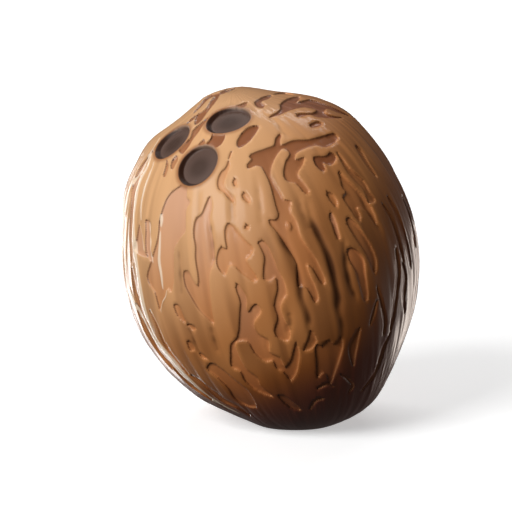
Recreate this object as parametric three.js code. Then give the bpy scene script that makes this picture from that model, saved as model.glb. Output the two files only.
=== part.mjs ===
import * as THREE from 'three';
import { ConvexHull } from 'three/addons/math/ConvexHull.js';

// A husked coconut resting on a small flat spot. Millimetres, +Z up, front towards -Y.
// The origin is the middle of the flat spot. The nut is one closed solid: a rounded form whose
// surface is then raised or lowered by a formula for the eyes, patches, furrows and pits.

// Driving dimensions
const WIDTH = 106;
const DEPTH = 108;
const CENTRE_HEIGHT = 59.3;
const CENTRE_X = -8.5;
const CENTRE_Y = 2.3;
const MEAN_RADIUS = 55;
const EYE_RADIUS = 7.1;
const EYE_FLOOR_RADIUS = 6;
const EYE_DEPTH = 1.4;
const EYE_LIP = 0.25;
const PATCH_DEPTH = 0.62;
const PATCH_WALL = 0.7;
const FURROW_DEPTH = 0.75;
const RIDGE_HEIGHT = 0.8;
const FOOT_RADIUS = 14;
const FOOT_BLEND = 5;

// How a furrow eases towards its ends, as shares of its length, and the share of depth left there
const FURROW_EASE = { upper: 0.3, lower: 0.12 };
const FURROW_END = 0.35;

// The front sheet: the view from the front, a little above, 512 units square, v downwards
const SHEET = { u: 271, v: 257, nutWidth: 297, eyeDistance: 700, elevation: 9 };
const UNIT = WIDTH / SHEET.nutWidth;

// The fruit's own axis: its lean to the left and its tilt towards the front, in degrees
const AXIS_LEAN = 13;
const AXIS_TILT = 14;
const RIDGE_TURN = 20;

// Outline of the whole nut on the sheet, clockwise from the top
const OUTLINE = [
  [238, 87], [208, 95.3], [194.5, 105.5], [179, 118.8], [150, 140.8], [134.6, 165.4],
  [124.2, 191.8], [122.2, 225], [122.2, 257], [127.3, 295], [141.7, 334.6], [165.3, 368.8],
  [191, 391.5], [203.3, 400.2], [238.1, 416.5], [270, 428], [318, 428.4], [354, 415.6],
  [374, 400.4], [390, 373.5], [399.5, 352], [414, 310], [418.3, 285], [419.3, 257],
  [412.1, 212], [397.2, 176], [377.5, 144.6], [348, 112.1], [318.3, 97.8], [275, 91.3],
];

// The three oval eyes: their middles on the sheet, half their length and width in millimetres,
// and the turn of their length from the fruit's axis in degrees
const EYES = {
  outer: { middle: [171.3, 141.4], halfLength: 7.35, halfWidth: 6.65, turn: 176 },
  upper: { middle: [227.7, 119.4], halfLength: 7.5, halfWidth: 6.35, turn: 84 },
  lower: { middle: [197, 165.1], halfLength: 7.8, halfWidth: 6.95, turn: 25 },
};

// Recessed patches, each a closed wavy outline on the sheet
const PATCHES = {
  crownHook: [
    [229, 88], [220, 94], [217, 99], [206, 113], [200, 121], [195, 124], [196, 115],
    [205, 109], [211, 100], [220, 92],
  ],
  besideUpperEye: [
    [208, 118], [201, 122], [193, 130], [190, 138], [182, 146], [179, 151], [182, 153.5],
    [187, 148], [193, 138], [202, 126.5],
  ],
  betweenEyes: [[213, 134], [225, 134], [224, 139], [219, 146], [214, 148], [207, 144], [211, 138]],
  eyeDrop: [[204, 139], [205, 142], [201, 146.5], [199, 145], [201, 141]],
  leftDrop: [[176.5, 155.5], [177.5, 159], [174.5, 165], [172, 169], [170.5, 167], [172, 160]],
  leftDropLow: [[167, 160], [168, 166], [166, 173], [164, 177], [162.8, 175], [165, 167]],
  crownDot: [[235, 107], [240, 104], [247, 102], [246, 105.5], [240, 108.5]],
  crownComma: [
    [254.5, 102], [260, 98], [266, 95.5], [272, 95], [268, 98.5], [261.5, 101], [265, 104.5],
    [262, 107.5], [257, 106],
  ],
  crownOval: [
    [259, 125.5], [253, 125.5], [246, 129], [240, 135], [236.5, 143], [239, 147], [249.5, 140.5],
    [256, 132],
  ],
  browTail: [
    [228.5, 160], [225.5, 167], [220, 173], [217, 183], [219, 189.5], [224, 193], [229, 199],
    [234.5, 202], [231, 194], [225, 188], [224, 182], [227, 173], [230, 164],
  ],
  pitUpper: [[235, 178], [237.3, 182], [235, 186], [232.7, 182]],
  pitLower: [[244.5, 192], [242, 195], [244.5, 200], [249.5, 203], [250.3, 200], [247, 194]],
  pitSmall: [[247, 224.5], [249.4, 227], [247, 229.5], [244.6, 227]],
  paleFlank: [
    [187, 184], [173, 190], [167, 197], [163, 206], [159, 220], [157, 238], [150, 262],
    [146, 276], [148, 284], [154, 293], [157, 303], [159.5, 310], [162, 301], [165, 296],
    [167, 289], [170.5, 292.5], [173, 282], [173, 266], [173.5, 248], [180, 237], [184.5, 231],
    [185, 218], [186, 208], [189.5, 202], [186, 196],
  ],
  longFlank: [
    [209.5, 196], [205, 205], [201, 214], [196, 218], [193.5, 227], [193.5, 237], [195, 246],
    [195, 258], [198, 280], [197, 285.6], [193, 281], [189, 273.5], [186, 270.7], [182.8, 273],
    [184.3, 285.6], [188, 293], [197.3, 308.6], [203.8, 316], [213.5, 324.3], [212, 313],
    [210.2, 297], [209.4, 274], [213.5, 262], [212, 240], [209, 222], [209.6, 214.6],
    [211.5, 207], [210.8, 200],
  ],
  heart: [
    [228, 223], [233, 226], [244.6, 239.5], [253, 248], [251, 255], [246.6, 260],
    [250, 267], [257.4, 279], [254, 281.5], [245, 276], [239.5, 271.7], [233, 265.5],
    [229, 266], [225, 275], [219, 270], [216, 260], [220.5, 247], [226, 248.5], [225, 240],
    [224.8, 230],
  ],
  fork: [
    [280.3, 133], [275.8, 138], [274, 144.7], [268.3, 147.2], [251, 153.8], [249.5, 156.5],
    [251.5, 158.8], [247, 164.6], [248, 168], [256, 165.4], [261, 166.3], [265.2, 172.9],
    [270, 183], [275.5, 204], [278.4, 215.5], [275.5, 219.4], [269, 219.5], [270.2, 224.2],
    [276.5, 231.2], [288, 248.4], [297, 264.5], [299, 287], [303.6, 286.4], [308.7, 290.8],
    [315.7, 303], [318.6, 300.5], [317.6, 291.5], [308, 269], [308, 265], [312.5, 268.5],
    [319.5, 280], [324, 285], [326, 282], [320.2, 267], [316.4, 259], [301.7, 237.6],
    [299, 229.3], [296, 220.4], [290.5, 211], [291, 201], [284.5, 199], [280.7, 193],
    [271, 175], [272.4, 164], [279.5, 151], [284, 147.8], [290, 153], [285.5, 162],
    [284, 175], [287.4, 180.4], [295.7, 182.8], [306.4, 193.6], [309.6, 191.5], [304.8, 183.7],
    [298, 173.7], [303, 164], [304.6, 157], [296, 158.8], [296, 153.5], [304.8, 148],
    [316.4, 144.7], [326.3, 146.8], [338.5, 138], [334.6, 133], [325.5, 134.8], [310, 139],
    [293.2, 140], [281.5, 144], [280.3, 139.7], [281.6, 134.8],
  ],
  crownBand: [
    [268.7, 116.5], [280.7, 109], [280.5, 104], [290, 97.4], [300.6, 96.8], [297, 101.5],
    [309, 99], [321.4, 102], [342, 110.7], [351, 116.5], [339.6, 112.4], [326.3, 108],
    [325, 111], [332, 115], [343, 117.3], [318, 116.5], [310, 114], [298, 116.5],
    [297, 113.5], [313, 112.4], [317.2, 109.5], [305.6, 106.6], [289, 110], [279, 114.5],
  ],
  crownChip: [[310, 124.4], [318, 120.8], [323, 123.4], [313, 127]],
  claw: [
    [314, 156.5], [315.6, 163.8], [319.7, 168.7], [324, 171], [326, 168], [324, 162.5],
    [332, 164.3], [337, 157.5], [335.5, 154.7], [330.5, 152.2], [326.5, 155.5],
  ],
  shoulderStrip: [
    [337, 151], [340, 157], [347, 170], [355, 179.5], [364.5, 189.5], [370, 203], [376, 200.5],
    [371, 192], [364.5, 180.4], [351, 168], [343, 157],
  ],
  shoulderSlip: [
    [339, 171], [341, 180], [343, 187], [346.5, 192], [343.5, 197], [348, 205], [360, 221],
    [361.5, 216], [358, 207], [366, 209.5], [378, 225], [372, 207], [358.4, 190], [350, 181.5],
  ],
  shoulderSliver: [[327, 192.5], [330, 199.5], [337, 207], [338, 203], [335.5, 197], [331, 192.5]],
  rightSlit: [
    [331, 212.5], [330, 217], [333, 225], [337.7, 238], [340.5, 239], [338.7, 229], [333.6, 214.6],
  ],
  rightBlade: [
    [346.5, 220], [348.5, 217.5], [355, 222], [363, 232], [372, 246], [377.5, 262], [375.5, 274],
    [367, 255], [353.5, 234],
  ],
  rightFinger: [
    [348.5, 249], [352, 248], [358, 251], [364, 259], [366.5, 275], [368.5, 300], [365.5, 301],
    [361.5, 291], [356.5, 272], [350, 260],
  ],
  middleStem: [
    [258, 242.5], [262, 240.5], [267, 245], [274, 259], [277, 268], [284, 280.5], [286.7, 294],
    [283, 300.5], [280.7, 308], [285.5, 321.5], [290.5, 331], [290, 339], [286, 341.8],
    [277.5, 338], [274.6, 331], [277.8, 319], [274.3, 306], [277.5, 288.5], [275.5, 278],
    [269, 281.3], [264, 279.5], [263.6, 268], [264.4, 257.4], [260, 246.5],
  ],
  lowerMass: [
    [237, 283.8], [241.5, 289.5], [246.6, 299], [246.3, 310], [248.5, 312.5], [253, 306],
    [256.5, 304.5], [261, 311.5], [254.8, 321.4], [254, 328], [258.3, 334.6], [268.5, 341],
    [270, 353], [280, 358.5], [285.3, 368], [290.4, 363], [293.5, 352.2], [296.3, 344],
    [299.6, 353], [298.8, 363.7], [296, 375], [291.2, 381.3], [283.5, 372.5], [277, 369.5],
    [272.8, 361.4], [266, 362.5], [254.4, 353.7], [246.8, 342.2], [235.3, 343.8], [240, 359],
    [246.8, 370.6], [257.5, 379], [260, 386], [272.5, 397], [258, 392], [245.2, 382],
    [240, 372], [231.5, 367.5], [230.5, 355], [231, 344.5], [237, 338], [239.5, 312.5],
    [240, 302], [235.7, 288],
  ],
  lowerTongue: [
    [206.5, 369], [210, 364], [216, 366], [238, 383.5], [248, 391.5], [256, 408], [245, 406],
    [234.5, 399.5], [228, 389.5], [217.5, 379],
  ],
  flankChip: [[173.5, 305], [177, 304.8], [181, 312], [184.5, 323.5], [177.5, 317]],
  flankSpeck: [[186, 325.5], [191, 325], [195.5, 329.5], [192.5, 331.5]],
  flankDrop: [[186.5, 342], [189.5, 342.3], [194, 351], [190, 351.5]],
  flankTick: [[198.5, 354.3], [201.5, 354.5], [207, 360], [202, 358.8]],
  leftBlade: [
    [145.5, 219.5], [149, 222], [149.7, 235], [150, 250], [153, 263.5], [146.5, 257],
    [144.5, 245], [145, 230],
  ],
  leftRimBlade: [
    [138.5, 225], [141.5, 235], [143.6, 252], [146, 257], [138, 254.5], [133.7, 249.5],
    [135.3, 240],
  ],
  lowTriangle: [[311.5, 331.5], [317, 341], [314.5, 346.5], [309, 350.7], [304.3, 350.5], [308, 340]],
  lowRight: [
    [316.5, 345.5], [322.5, 346], [329.5, 340.5], [335, 345], [341, 338.6], [343.7, 343],
    [340, 359.7], [337.5, 368], [330, 386], [327, 376], [323, 373.5], [318, 378], [316.8, 362],
  ],
  lowSpike: [[360.5, 328], [359, 340], [356, 356], [354, 367], [350.5, 358], [349.5, 348], [355, 335]],
  heelChip: [[278, 396.5], [284, 397], [297, 406.5], [301, 411.5], [290, 408.5]],
};

// Long thin recessed streaks: the middle line on the sheet and the width in sheet units
const STREAKS = {
  crown: { width: 2.6, line: [[235, 88], [223, 92.3], [209, 96.7], [200.5, 105], [194, 112]] },
  brow: { width: 2.2, line: [[195.5, 115], [191, 119.5], [187, 123.5]] },
  crownSliver: { width: 1.6, line: [[274, 94], [283, 92.8], [293, 94]] },
  dash: { width: 1.6, line: [[231.5, 151], [229, 158]] },
  leftRim: {
    width: 4.5,
    line: [[153, 151], [142, 166], [134.5, 184], [132, 205], [130.5, 230], [130.8, 262]],
  },
  leftRimLow: {
    width: 4.2,
    line: [[130.6, 268], [135, 295], [145, 322], [158, 347], [175, 369], [192, 386], [212, 400]],
  },
  leftEdgeLow: { width: 3, line: [[135, 304], [144, 328], [157, 350], [172, 369]] },
  leftInnerLow: { width: 3, line: [[149, 311], [156, 325], [164.5, 345], [175, 360], [188, 375]] },
  heelLong: { width: 3.4, line: [[191, 376], [203, 385.5], [222, 400], [238, 408], [250, 416]] },
  rightRimDark: {
    width: 4,
    line: [[388, 196], [396, 211], [401.5, 226], [406, 240], [409.5, 254], [412, 268]],
  },
  rightRimInner: { width: 3, line: [[383, 203], [391, 216], [397, 232], [401, 247], [404.5, 262]] },
  rightRimOuter: { width: 2.4, line: [[403, 196], [409.5, 212], [414, 230], [416, 245]] },
  rightRimLow: { width: 3.6, line: [[403, 262], [406, 276], [404.5, 296], [405.5, 314]] },
  rightGloss: { width: 4, line: [[396.5, 248], [399, 268], [397, 292], [394.5, 312], [391, 331]] },
  rightEdgeLow: { width: 3, line: [[391, 333], [385, 346], [380, 362], [373, 378], [362, 391]] },
  rightFork: { width: 2.6, line: [[377.5, 287.5], [382, 303], [385.5, 322], [384, 336]] },
  rightSplit: { width: 2.2, line: [[377, 301], [373.5, 316], [370.5, 325]] },
  heelRight: { width: 3, line: [[341, 375], [348, 380], [353, 386], [349, 393]] },
  heelMiddle: { width: 2.6, line: [[318, 389], [327, 384.5], [334, 388]] },
  heelHook: { width: 2.6, line: [[310, 410], [316, 401], [324, 399]] },
  shoulderDark: { width: 4, line: [[356.5, 145], [361, 151], [368, 163], [377, 176]] },
};

// Soft furrows: the middle line on the sheet, the half width in millimetres and the share of depth
const FURROWS = {
  flank: { reach: 1.1, share: 0.8, line: [[208, 216], [210, 232], [212, 250], [213.5, 264]] },
  main: {
    reach: 1.3,
    share: 1.2,
    line: [[308, 204], [314, 224], [327, 250], [333, 269], [338, 290], [341, 310]],
  },
  right: { reach: 1.1, share: 0.9, line: [[345, 243], [346.5, 260], [350, 281], [357, 300]] },
  stem: {
    reach: 1.2,
    share: 1,
    line: [[268, 218], [281, 239], [293, 258], [299.5, 280], [301.5, 298], [308, 314], [311, 332]],
  },
  middle: { reach: 1.2, share: 0.7, line: [[288, 308], [290, 320], [288.5, 334]] },
  lowFlank: { reach: 1.1, share: 0.7, line: [[185, 322], [190.5, 336], [198.5, 355]] },
  lowMiddle: { reach: 1.2, share: 0.7, line: [[209, 322], [212, 336], [217.5, 353]] },
  leftLong: { reach: 1.2, share: 0.6, line: [[177, 240], [178.5, 268], [181, 298]] },
  top: { reach: 1.3, share: 0.45, line: [[234, 186], [231, 205], [232, 222]] },
  topRight: { reach: 1.3, share: 0.45, line: [[256, 178], [259, 200], [262, 226]] },
  mainLow: { reach: 1.3, share: 0.7, line: [[334, 296], [340, 314], [343, 330], [342, 344]] },
  besideMain: { reach: 1.2, share: 0.5, line: [[299, 194], [301, 206], [305, 218], [311, 230]] },
  shoulder: { reach: 1.1, share: 0.6, line: [[360, 192], [366, 203], [373, 217], [382, 231]] },
  seam: { reach: 0.9, share: 0.5, line: [[262, 113], [275, 120.5], [282, 130], [289, 137]] },
};

// The one raised blister on the front
const BLISTER = { centre: [289.3, 226], halfWidth: 1.1, halfLength: 1.8, height: 0.45 };

// Patches and furrows on the sides and back, drawn by the same rule all round
const HIDDEN = {
  seed: 20714, patches: 62, furrows: 14, tries: 4000, frontLimit: 0.1, gap: 1.7,
  longest: 30, shortest: 7, widest: 3.2, narrowest: 1,
};

// Steps of an even spread of places over the nut, as shares of its height and of a full turn
const SPREAD = { down: 0.7548777, turn: 0.5698403 };

// Mesh steps in millimetres
const FRONT_STEP = 2.5;
const BACK_STEP = 3.1;
const FILL_STEP = 4.2;
const FILL_CLEARANCE = 1.5;
const LEAST_GAP = 0.5;

const radians = (degrees) => (degrees * Math.PI) / 180;
const clamp = (value, low, high) => Math.min(high, Math.max(low, value));

function smooth(value) {
  const t = clamp(value, 0, 1);
  return t * t * (3 - 2 * t);
}

// Directions of the sheet: right, up and towards the eye, as seen from the front and a little above
const tilt = radians(SHEET.elevation);
const RIGHT = new THREE.Vector3(1, 0, 0);
const UP = new THREE.Vector3(0, Math.sin(tilt), Math.cos(tilt));
const TOWARDS = new THREE.Vector3(0, -Math.cos(tilt), Math.sin(tilt));
const CENTRE = new THREE.Vector3(CENTRE_X, CENTRE_Y, CENTRE_HEIGHT);

// The fruit's axis and the two directions across it; the first across faces the front
const lean = radians(AXIS_LEAN);
const nod = radians(AXIS_TILT);
const AXIS = new THREE.Vector3()
  .addScaledVector(RIGHT, -Math.sin(lean) * Math.cos(nod))
  .addScaledVector(UP, Math.cos(lean) * Math.cos(nod))
  .addScaledVector(TOWARDS, Math.sin(nod));
const ACROSS_FRONT = TOWARDS.clone().addScaledVector(AXIS, -TOWARDS.dot(AXIS)).normalize();
const ACROSS_SIDE = new THREE.Vector3().crossVectors(AXIS, ACROSS_FRONT);

function repeatable(seed) {
  let state = seed;
  return () => {
    state = (state * 16807) % 2147483647;
    return state / 2147483647;
  };
}

// A smooth line through the given sheet points
function smoothLine(points, closed, stepsEach) {
  const knots = points.map(([u, v]) => new THREE.Vector3(u, v, 0));
  const curve = new THREE.CatmullRomCurve3(knots, closed, 'centripetal');
  const spans = closed ? points.length : points.length - 1;
  const line = curve.getPoints(spans * stepsEach).map((p) => [p.x, p.y]);
  return closed ? line.slice(0, -1) : line;
}

// The nut's radius in the plane of the sheet, looked up by angle. Away from the outline the form
// follows an evened-out copy of it, so that its corners stay near the edge of the view.
const OUTLINE_STEPS = 720;
const EVENING_STEPS = 70;
const OUTLINE_REACH = 0.5;
const outlineRadii = makeOutlineRadii();
const evenRadii = makeEvenRadii();

function makeOutlineRadii() {
  const ring = smoothLine(OUTLINE, true, 40).map(([u, v]) => {
    const x = (u - SHEET.u) * UNIT;
    const y = (SHEET.v - v) * UNIT;
    return { angle: Math.atan2(y, x), radius: Math.hypot(x, y) };
  });
  ring.sort((a, b) => a.angle - b.angle);
  const radii = [];
  let next = 0;
  for (let step = 0; step < OUTLINE_STEPS; step++) {
    const angle = -Math.PI + (step * 2 * Math.PI) / OUTLINE_STEPS;
    while (next < ring.length && ring[next].angle < angle) {
      next += 1;
    }
    const after = ring[next % ring.length];
    const before = ring[(next + ring.length - 1) % ring.length];
    const turn = 2 * Math.PI;
    const span = (after.angle - before.angle + turn) % turn;
    const part = ((angle - before.angle + turn) % turn) / span;
    radii.push(before.radius + (after.radius - before.radius) * part);
  }
  return radii;
}

function makeEvenRadii() {
  return outlineRadii.map((radius, step) => {
    let sum = 0;
    let weights = 0;
    for (let offset = -EVENING_STEPS; offset <= EVENING_STEPS; offset++) {
      const weight = 1 + Math.cos((Math.PI * offset) / EVENING_STEPS);
      sum += weight * outlineRadii[(step + offset + OUTLINE_STEPS) % OUTLINE_STEPS];
      weights += weight;
    }
    return sum / weights;
  });
}

function lookUp(radii, x, y) {
  const place = ((Math.atan2(y, x) + Math.PI) / (2 * Math.PI)) * OUTLINE_STEPS;
  const low = Math.floor(place);
  const part = place - low;
  const first = radii[low % OUTLINE_STEPS];
  const second = radii[(low + 1) % OUTLINE_STEPS];
  return first + (second - first) * part;
}

// The radius across the sheet that applies at a height t towards the eye
function sideRadius(x, y, t) {
  const even = lookUp(evenRadii, x, y);
  const share = Math.exp(-((t / OUTLINE_REACH) ** 2));
  return even + (lookUp(outlineRadii, x, y) - even) * share;
}

// Radius of the plain rounded form along a direction, before the flat spot and the relief
function formRadius(direction) {
  const x = direction.dot(RIGHT);
  const y = direction.dot(UP);
  const t = direction.dot(TOWARDS);
  const side = sideRadius(x, y, t);
  const plain = 1 / Math.sqrt((x * x + y * y) / (side * side) + (4 * t * t) / (DEPTH * DEPTH));
  const along = direction.dot(AXIS);
  const turn = Math.atan2(direction.dot(ACROSS_SIDE), direction.dot(ACROSS_FRONT));
  const ridge = Math.cos(3 * (turn - radians(RIDGE_TURN)));
  return plain + RIDGE_HEIGHT * ridge * (1 - along * along) * t * t;
}

function floorRadius(direction) {
  return direction.z < -0.2 ? CENTRE_HEIGHT / -direction.z : Infinity;
}

function sheetPoint(point) {
  const nearness = SHEET.eyeDistance / (SHEET.eyeDistance - point.dot(TOWARDS));
  return [
    SHEET.u + (point.dot(RIGHT) * nearness) / UNIT,
    SHEET.v - (point.dot(UP) * nearness) / UNIT,
  ];
}

// The direction from the centre to the front surface under a sheet point
function aim(u, v) {
  let x = (u - SHEET.u) * UNIT;
  let y = (SHEET.v - v) * UNIT;
  const direction = TOWARDS.clone();
  for (let round = 0; round < 14; round++) {
    const side = sideRadius(x, y, direction.dot(TOWARDS));
    const share = Math.min(0.998, Math.hypot(x, y) / side);
    const t = (DEPTH / 2) * Math.sqrt(1 - share * share);
    const fit = (share * side) / Math.hypot(x, y);
    direction.set(0, 0, 0).addScaledVector(RIGHT, x * fit).addScaledVector(UP, y * fit);
    direction.addScaledVector(TOWARDS, t).normalize();
    const [nowU, nowV] = sheetPoint(direction.clone().multiplyScalar(formRadius(direction)));
    x += (u - nowU) * UNIT;
    y += (nowV - v) * UNIT;
  }
  return direction;
}

function fruitDirection(down, turn) {
  return new THREE.Vector3()
    .addScaledVector(AXIS, Math.cos(down))
    .addScaledVector(ACROSS_FRONT, Math.sin(down) * Math.cos(turn))
    .addScaledVector(ACROSS_SIDE, Math.sin(down) * Math.sin(turn));
}

// A local map round a direction: millimetres along the fruit's axis and across it
function localMap(centre) {
  const along = AXIS.clone().addScaledVector(centre, -AXIS.dot(centre)).normalize().negate();
  const across = new THREE.Vector3().crossVectors(along, centre);
  const reach = 2 * MEAN_RADIUS;
  const toMap = (direction) => {
    const scale = reach / (1 + direction.dot(centre));
    return [direction.dot(along) * scale, direction.dot(across) * scale];
  };
  const toDirection = (s, w) => {
    const part = (s * s + w * w) / (reach * reach);
    return centre.clone().multiplyScalar(1 - part)
      .addScaledVector(along, (2 * s) / reach)
      .addScaledVector(across, (2 * w) / reach)
      .normalize();
  };
  const stretch = (direction) => 2 / (1 + direction.dot(centre));
  return { centre, toMap, toDirection, stretch };
}

function middleOf(directions) {
  const sum = new THREE.Vector3();
  directions.forEach((direction) => sum.add(direction));
  return sum.normalize();
}

// A patch or line laid on the surface, kept in its own local map
function layOut(directions, closed, step) {
  const map = localMap(middleOf(directions));
  const line = directions.map(map.toMap);
  const reach = Math.max(...line.map(([s, w]) => Math.hypot(s, w)));
  const top = Math.min(...line.map(([s]) => s));
  const bottom = Math.max(...line.map(([s]) => s));
  return { map, line, closed, step, reach, top, bottom, directions };
}

function distanceToLine(line, closed, s, w) {
  let nearest = Infinity;
  let inside = false;
  const count = closed ? line.length : line.length - 1;
  for (let i = 0; i < count; i++) {
    const [s0, w0] = line[i];
    const [s1, w1] = line[(i + 1) % line.length];
    const ds = s1 - s0;
    const dw = w1 - w0;
    const part = clamp(((s - s0) * ds + (w - w0) * dw) / (ds * ds + dw * dw + 1e-12), 0, 1);
    nearest = Math.min(nearest, Math.hypot(s - s0 - ds * part, w - w0 - dw * part));
    if (closed && w0 > w !== w1 > w && s < s0 + ((w - w0) / dw) * ds) {
      inside = !inside;
    }
  }
  return closed && inside ? nearest : closed ? -nearest : nearest;
}

// Millimetres from a laid-out line; inside a closed one counts as positive
function distanceFrom(shape, direction) {
  const cosine = direction.dot(shape.map.centre);
  if (cosine < 0) {
    return shape.closed ? -Infinity : Infinity;
  }
  const [s, w] = shape.map.toMap(direction);
  if (Math.hypot(s, w) > shape.reach + 8) {
    return shape.closed ? -Infinity : Infinity;
  }
  return distanceToLine(shape.line, shape.closed, s, w) / shape.map.stretch(direction);
}

// The two edges of a tapered streak, as one closed outline on the sheet
function streakOutline(line, width) {
  const middle = smoothLine(line, false, 4);
  const last = middle.length - 1;
  const edge = (side) => middle.map(([u, v], i) => {
    const [u0, v0] = middle[Math.max(0, i - 1)];
    const [u1, v1] = middle[Math.min(last, i + 1)];
    const length = Math.hypot(u1 - u0, v1 - v0);
    const half = (width / 2) * Math.sqrt(Math.sin((Math.PI * (i + 0.4)) / (last + 0.8))) * side;
    return [u - ((v1 - v0) / length) * half, v + ((u1 - u0) / length) * half];
  });
  return [...edge(1), ...edge(-1).reverse()];
}

function frontPatches() {
  const wavy = Object.values(PATCHES).map((points) => smoothLine(points, true, 3));
  const thin = Object.values(STREAKS).map(({ line, width }) => streakOutline(line, width));
  return [...wavy, ...thin].map((outline) => {
    const directions = outline.map(([u, v]) => aim(u, v));
    return layOut(directions, true, FRONT_STEP);
  });
}

// A long wavy blob drawn along the fruit's axis, as directions
function wavyBlob(centre, length, width, random) {
  const map = localMap(centre);
  const stations = 7;
  const sway = width * (0.3 + 0.9 * random());
  const phase = 2 * Math.PI * random();
  const left = [];
  const right = [];
  for (let i = 0; i <= stations; i++) {
    const part = i / stations;
    const middle = sway * Math.sin(phase + part * 4.2);
    const swell = Math.sqrt(Math.sin(Math.PI * (0.04 + 0.92 * part)));
    left.push([(part - 0.5) * length, middle - width * swell * (0.6 + 0.6 * random())]);
    right.push([(part - 0.5) * length, middle + width * swell * (0.6 + 0.6 * random())]);
  }
  const outline = smoothLine([...left, ...right.reverse()], true, 3);
  return outline.map(([s, w]) => map.toDirection(s, w));
}

function nearestGap(directions, others) {
  const near = Math.max(...others.map((other) => Math.max(...directions.map((d) => d.dot(other)))));
  return Math.acos(Math.min(1, near)) * MEAN_RADIUS;
}

function hiddenPatches(taken) {
  const random = repeatable(HIDDEN.seed);
  const found = [];
  const occupied = [...taken];
  for (let round = 1; round < HIDDEN.tries && found.length < HIDDEN.patches; round++) {
    const down = Math.acos(1 - 2 * ((round * SPREAD.down) % 1));
    const turn = 2 * Math.PI * ((round * SPREAD.turn) % 1);
    const size = (1 - found.length / HIDDEN.patches) ** 1.5;
    const length = HIDDEN.shortest + (HIDDEN.longest - HIDDEN.shortest) * size;
    const width = HIDDEN.narrowest + (HIDDEN.widest - HIDDEN.narrowest) * size * (0.4 + random());
    const centre = fruitDirection(clamp(down, 0.16, 2.98), turn);
    const blob = wavyBlob(centre, length, width, random);
    const hidden = blob.every((d) => d.dot(TOWARDS) < HIDDEN.frontLimit && footClearance(d) > 2);
    const sparse = blob.filter((d, i) => i % 2 === 0);
    if (hidden && nearestGap(sparse, occupied) > HIDDEN.gap) {
      found.push(layOut(blob, true, BACK_STEP));
      occupied.push(...sparse);
    }
  }
  return found;
}

function frontFurrows() {
  return Object.values(FURROWS).map(({ line, reach, share }) => {
    const directions = smoothLine(line, false, 4).map(([u, v]) => aim(u, v));
    return { ...layOut(directions, false, FRONT_STEP), half: reach, depth: share * FURROW_DEPTH };
  });
}

function hiddenFurrows() {
  const random = repeatable(HIDDEN.seed + 1);
  const found = [];
  while (found.length < HIDDEN.furrows) {
    const down = 0.7 + 1.5 * random();
    const turn = 2 * Math.PI * random();
    const length = 0.25 + 0.5 * random();
    const bend = 0.12 * (random() - 0.5);
    const share = 0.5 + 0.6 * random();
    const line = [0, 0.25, 0.5, 0.75, 1].map((part) => (
      fruitDirection(down + (part - 0.5) * length, turn + bend * Math.sin(5 * part))
    ));
    if (line.every((d) => d.dot(TOWARDS) < HIDDEN.frontLimit)) {
      const shape = layOut(line, false, BACK_STEP);
      found.push({ ...shape, half: 1.2, depth: share * FURROW_DEPTH });
    }
  }
  return found;
}

// How far a direction meets the surface from the edge of the flat spot
function footClearance(direction) {
  const towardsFoot = new THREE.Vector3(-CENTRE_X, -CENTRE_Y, -CENTRE_HEIGHT).normalize();
  const angle = Math.acos(clamp(direction.dot(towardsFoot), -1, 1));
  return angle * CENTRE_HEIGHT - FOOT_RADIUS;
}

const patches = frontPatches();
const patchPoints = patches.flatMap((patch) => patch.directions.filter((d, i) => i % 2 === 0));
patches.push(...hiddenPatches(patchPoints));
const furrows = [...frontFurrows(), ...hiddenFurrows()];
const eyes = Object.values(EYES).map((eye) => ({
  ...eye,
  map: localMap(aim(...eye.middle)),
  cos: Math.cos(THREE.MathUtils.degToRad(eye.turn)),
  sin: Math.sin(THREE.MathUtils.degToRad(eye.turn)),
}));
const blister = localMap(aim(...BLISTER.centre));

function eyeRelief(distance) {
  const wall = (distance - EYE_FLOOR_RADIUS) / (EYE_RADIUS - EYE_FLOOR_RADIUS);
  const bowl = -EYE_DEPTH * (1 - smooth(wall));
  const lip = EYE_LIP * Math.exp(-(((distance - EYE_RADIUS - 0.9) / 1.1) ** 2));
  return bowl + lip;
}

// How far a direction is from the middle of an eye, scaled so that its rim is at the mean radius
function eyeDistance(eye, direction) {
  const [s, w] = eye.map.toMap(direction);
  const length = (s * eye.cos + w * eye.sin) / eye.halfLength;
  const width = (w * eye.cos - s * eye.sin) / eye.halfWidth;
  return direction.dot(eye.map.centre) > 0.8 ? EYE_RADIUS * Math.hypot(length, width) : Infinity;
}

// The direction at a scaled distance from the middle of an eye
function eyeDirection(eye, radius, angle) {
  const length = (radius / EYE_RADIUS) * eye.halfLength * Math.cos(angle);
  const width = (radius / EYE_RADIUS) * eye.halfWidth * Math.sin(angle);
  const s = length * eye.cos - width * eye.sin;
  return eye.map.toDirection(s, length * eye.sin + width * eye.cos);
}

// How deep a furrow is along its length: shallower towards its ends
function furrowStrength(furrow, direction) {
  const [s] = furrow.map.toMap(direction);
  const part = clamp((s - furrow.top) / (furrow.bottom - furrow.top), 0, 1);
  const ends = smooth(part / FURROW_EASE.upper) * smooth((1 - part) / FURROW_EASE.lower);
  return FURROW_END + (1 - FURROW_END) * ends;
}

function furrowRelief(furrow, direction) {
  const distance = distanceFrom(furrow, direction);
  if (distance === Infinity) {
    return 0;
  }
  const across = Math.exp(-((distance / furrow.half) ** 2));
  return -furrow.depth * furrowStrength(furrow, direction) * across;
}

function blisterRelief(direction) {
  const [s, w] = blister.toMap(direction);
  const spread = (s / BLISTER.halfLength) ** 2 + (w / BLISTER.halfWidth) ** 2;
  return direction.dot(blister.centre) > 0.9 ? BLISTER.height * Math.exp(-spread) : 0;
}

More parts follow.
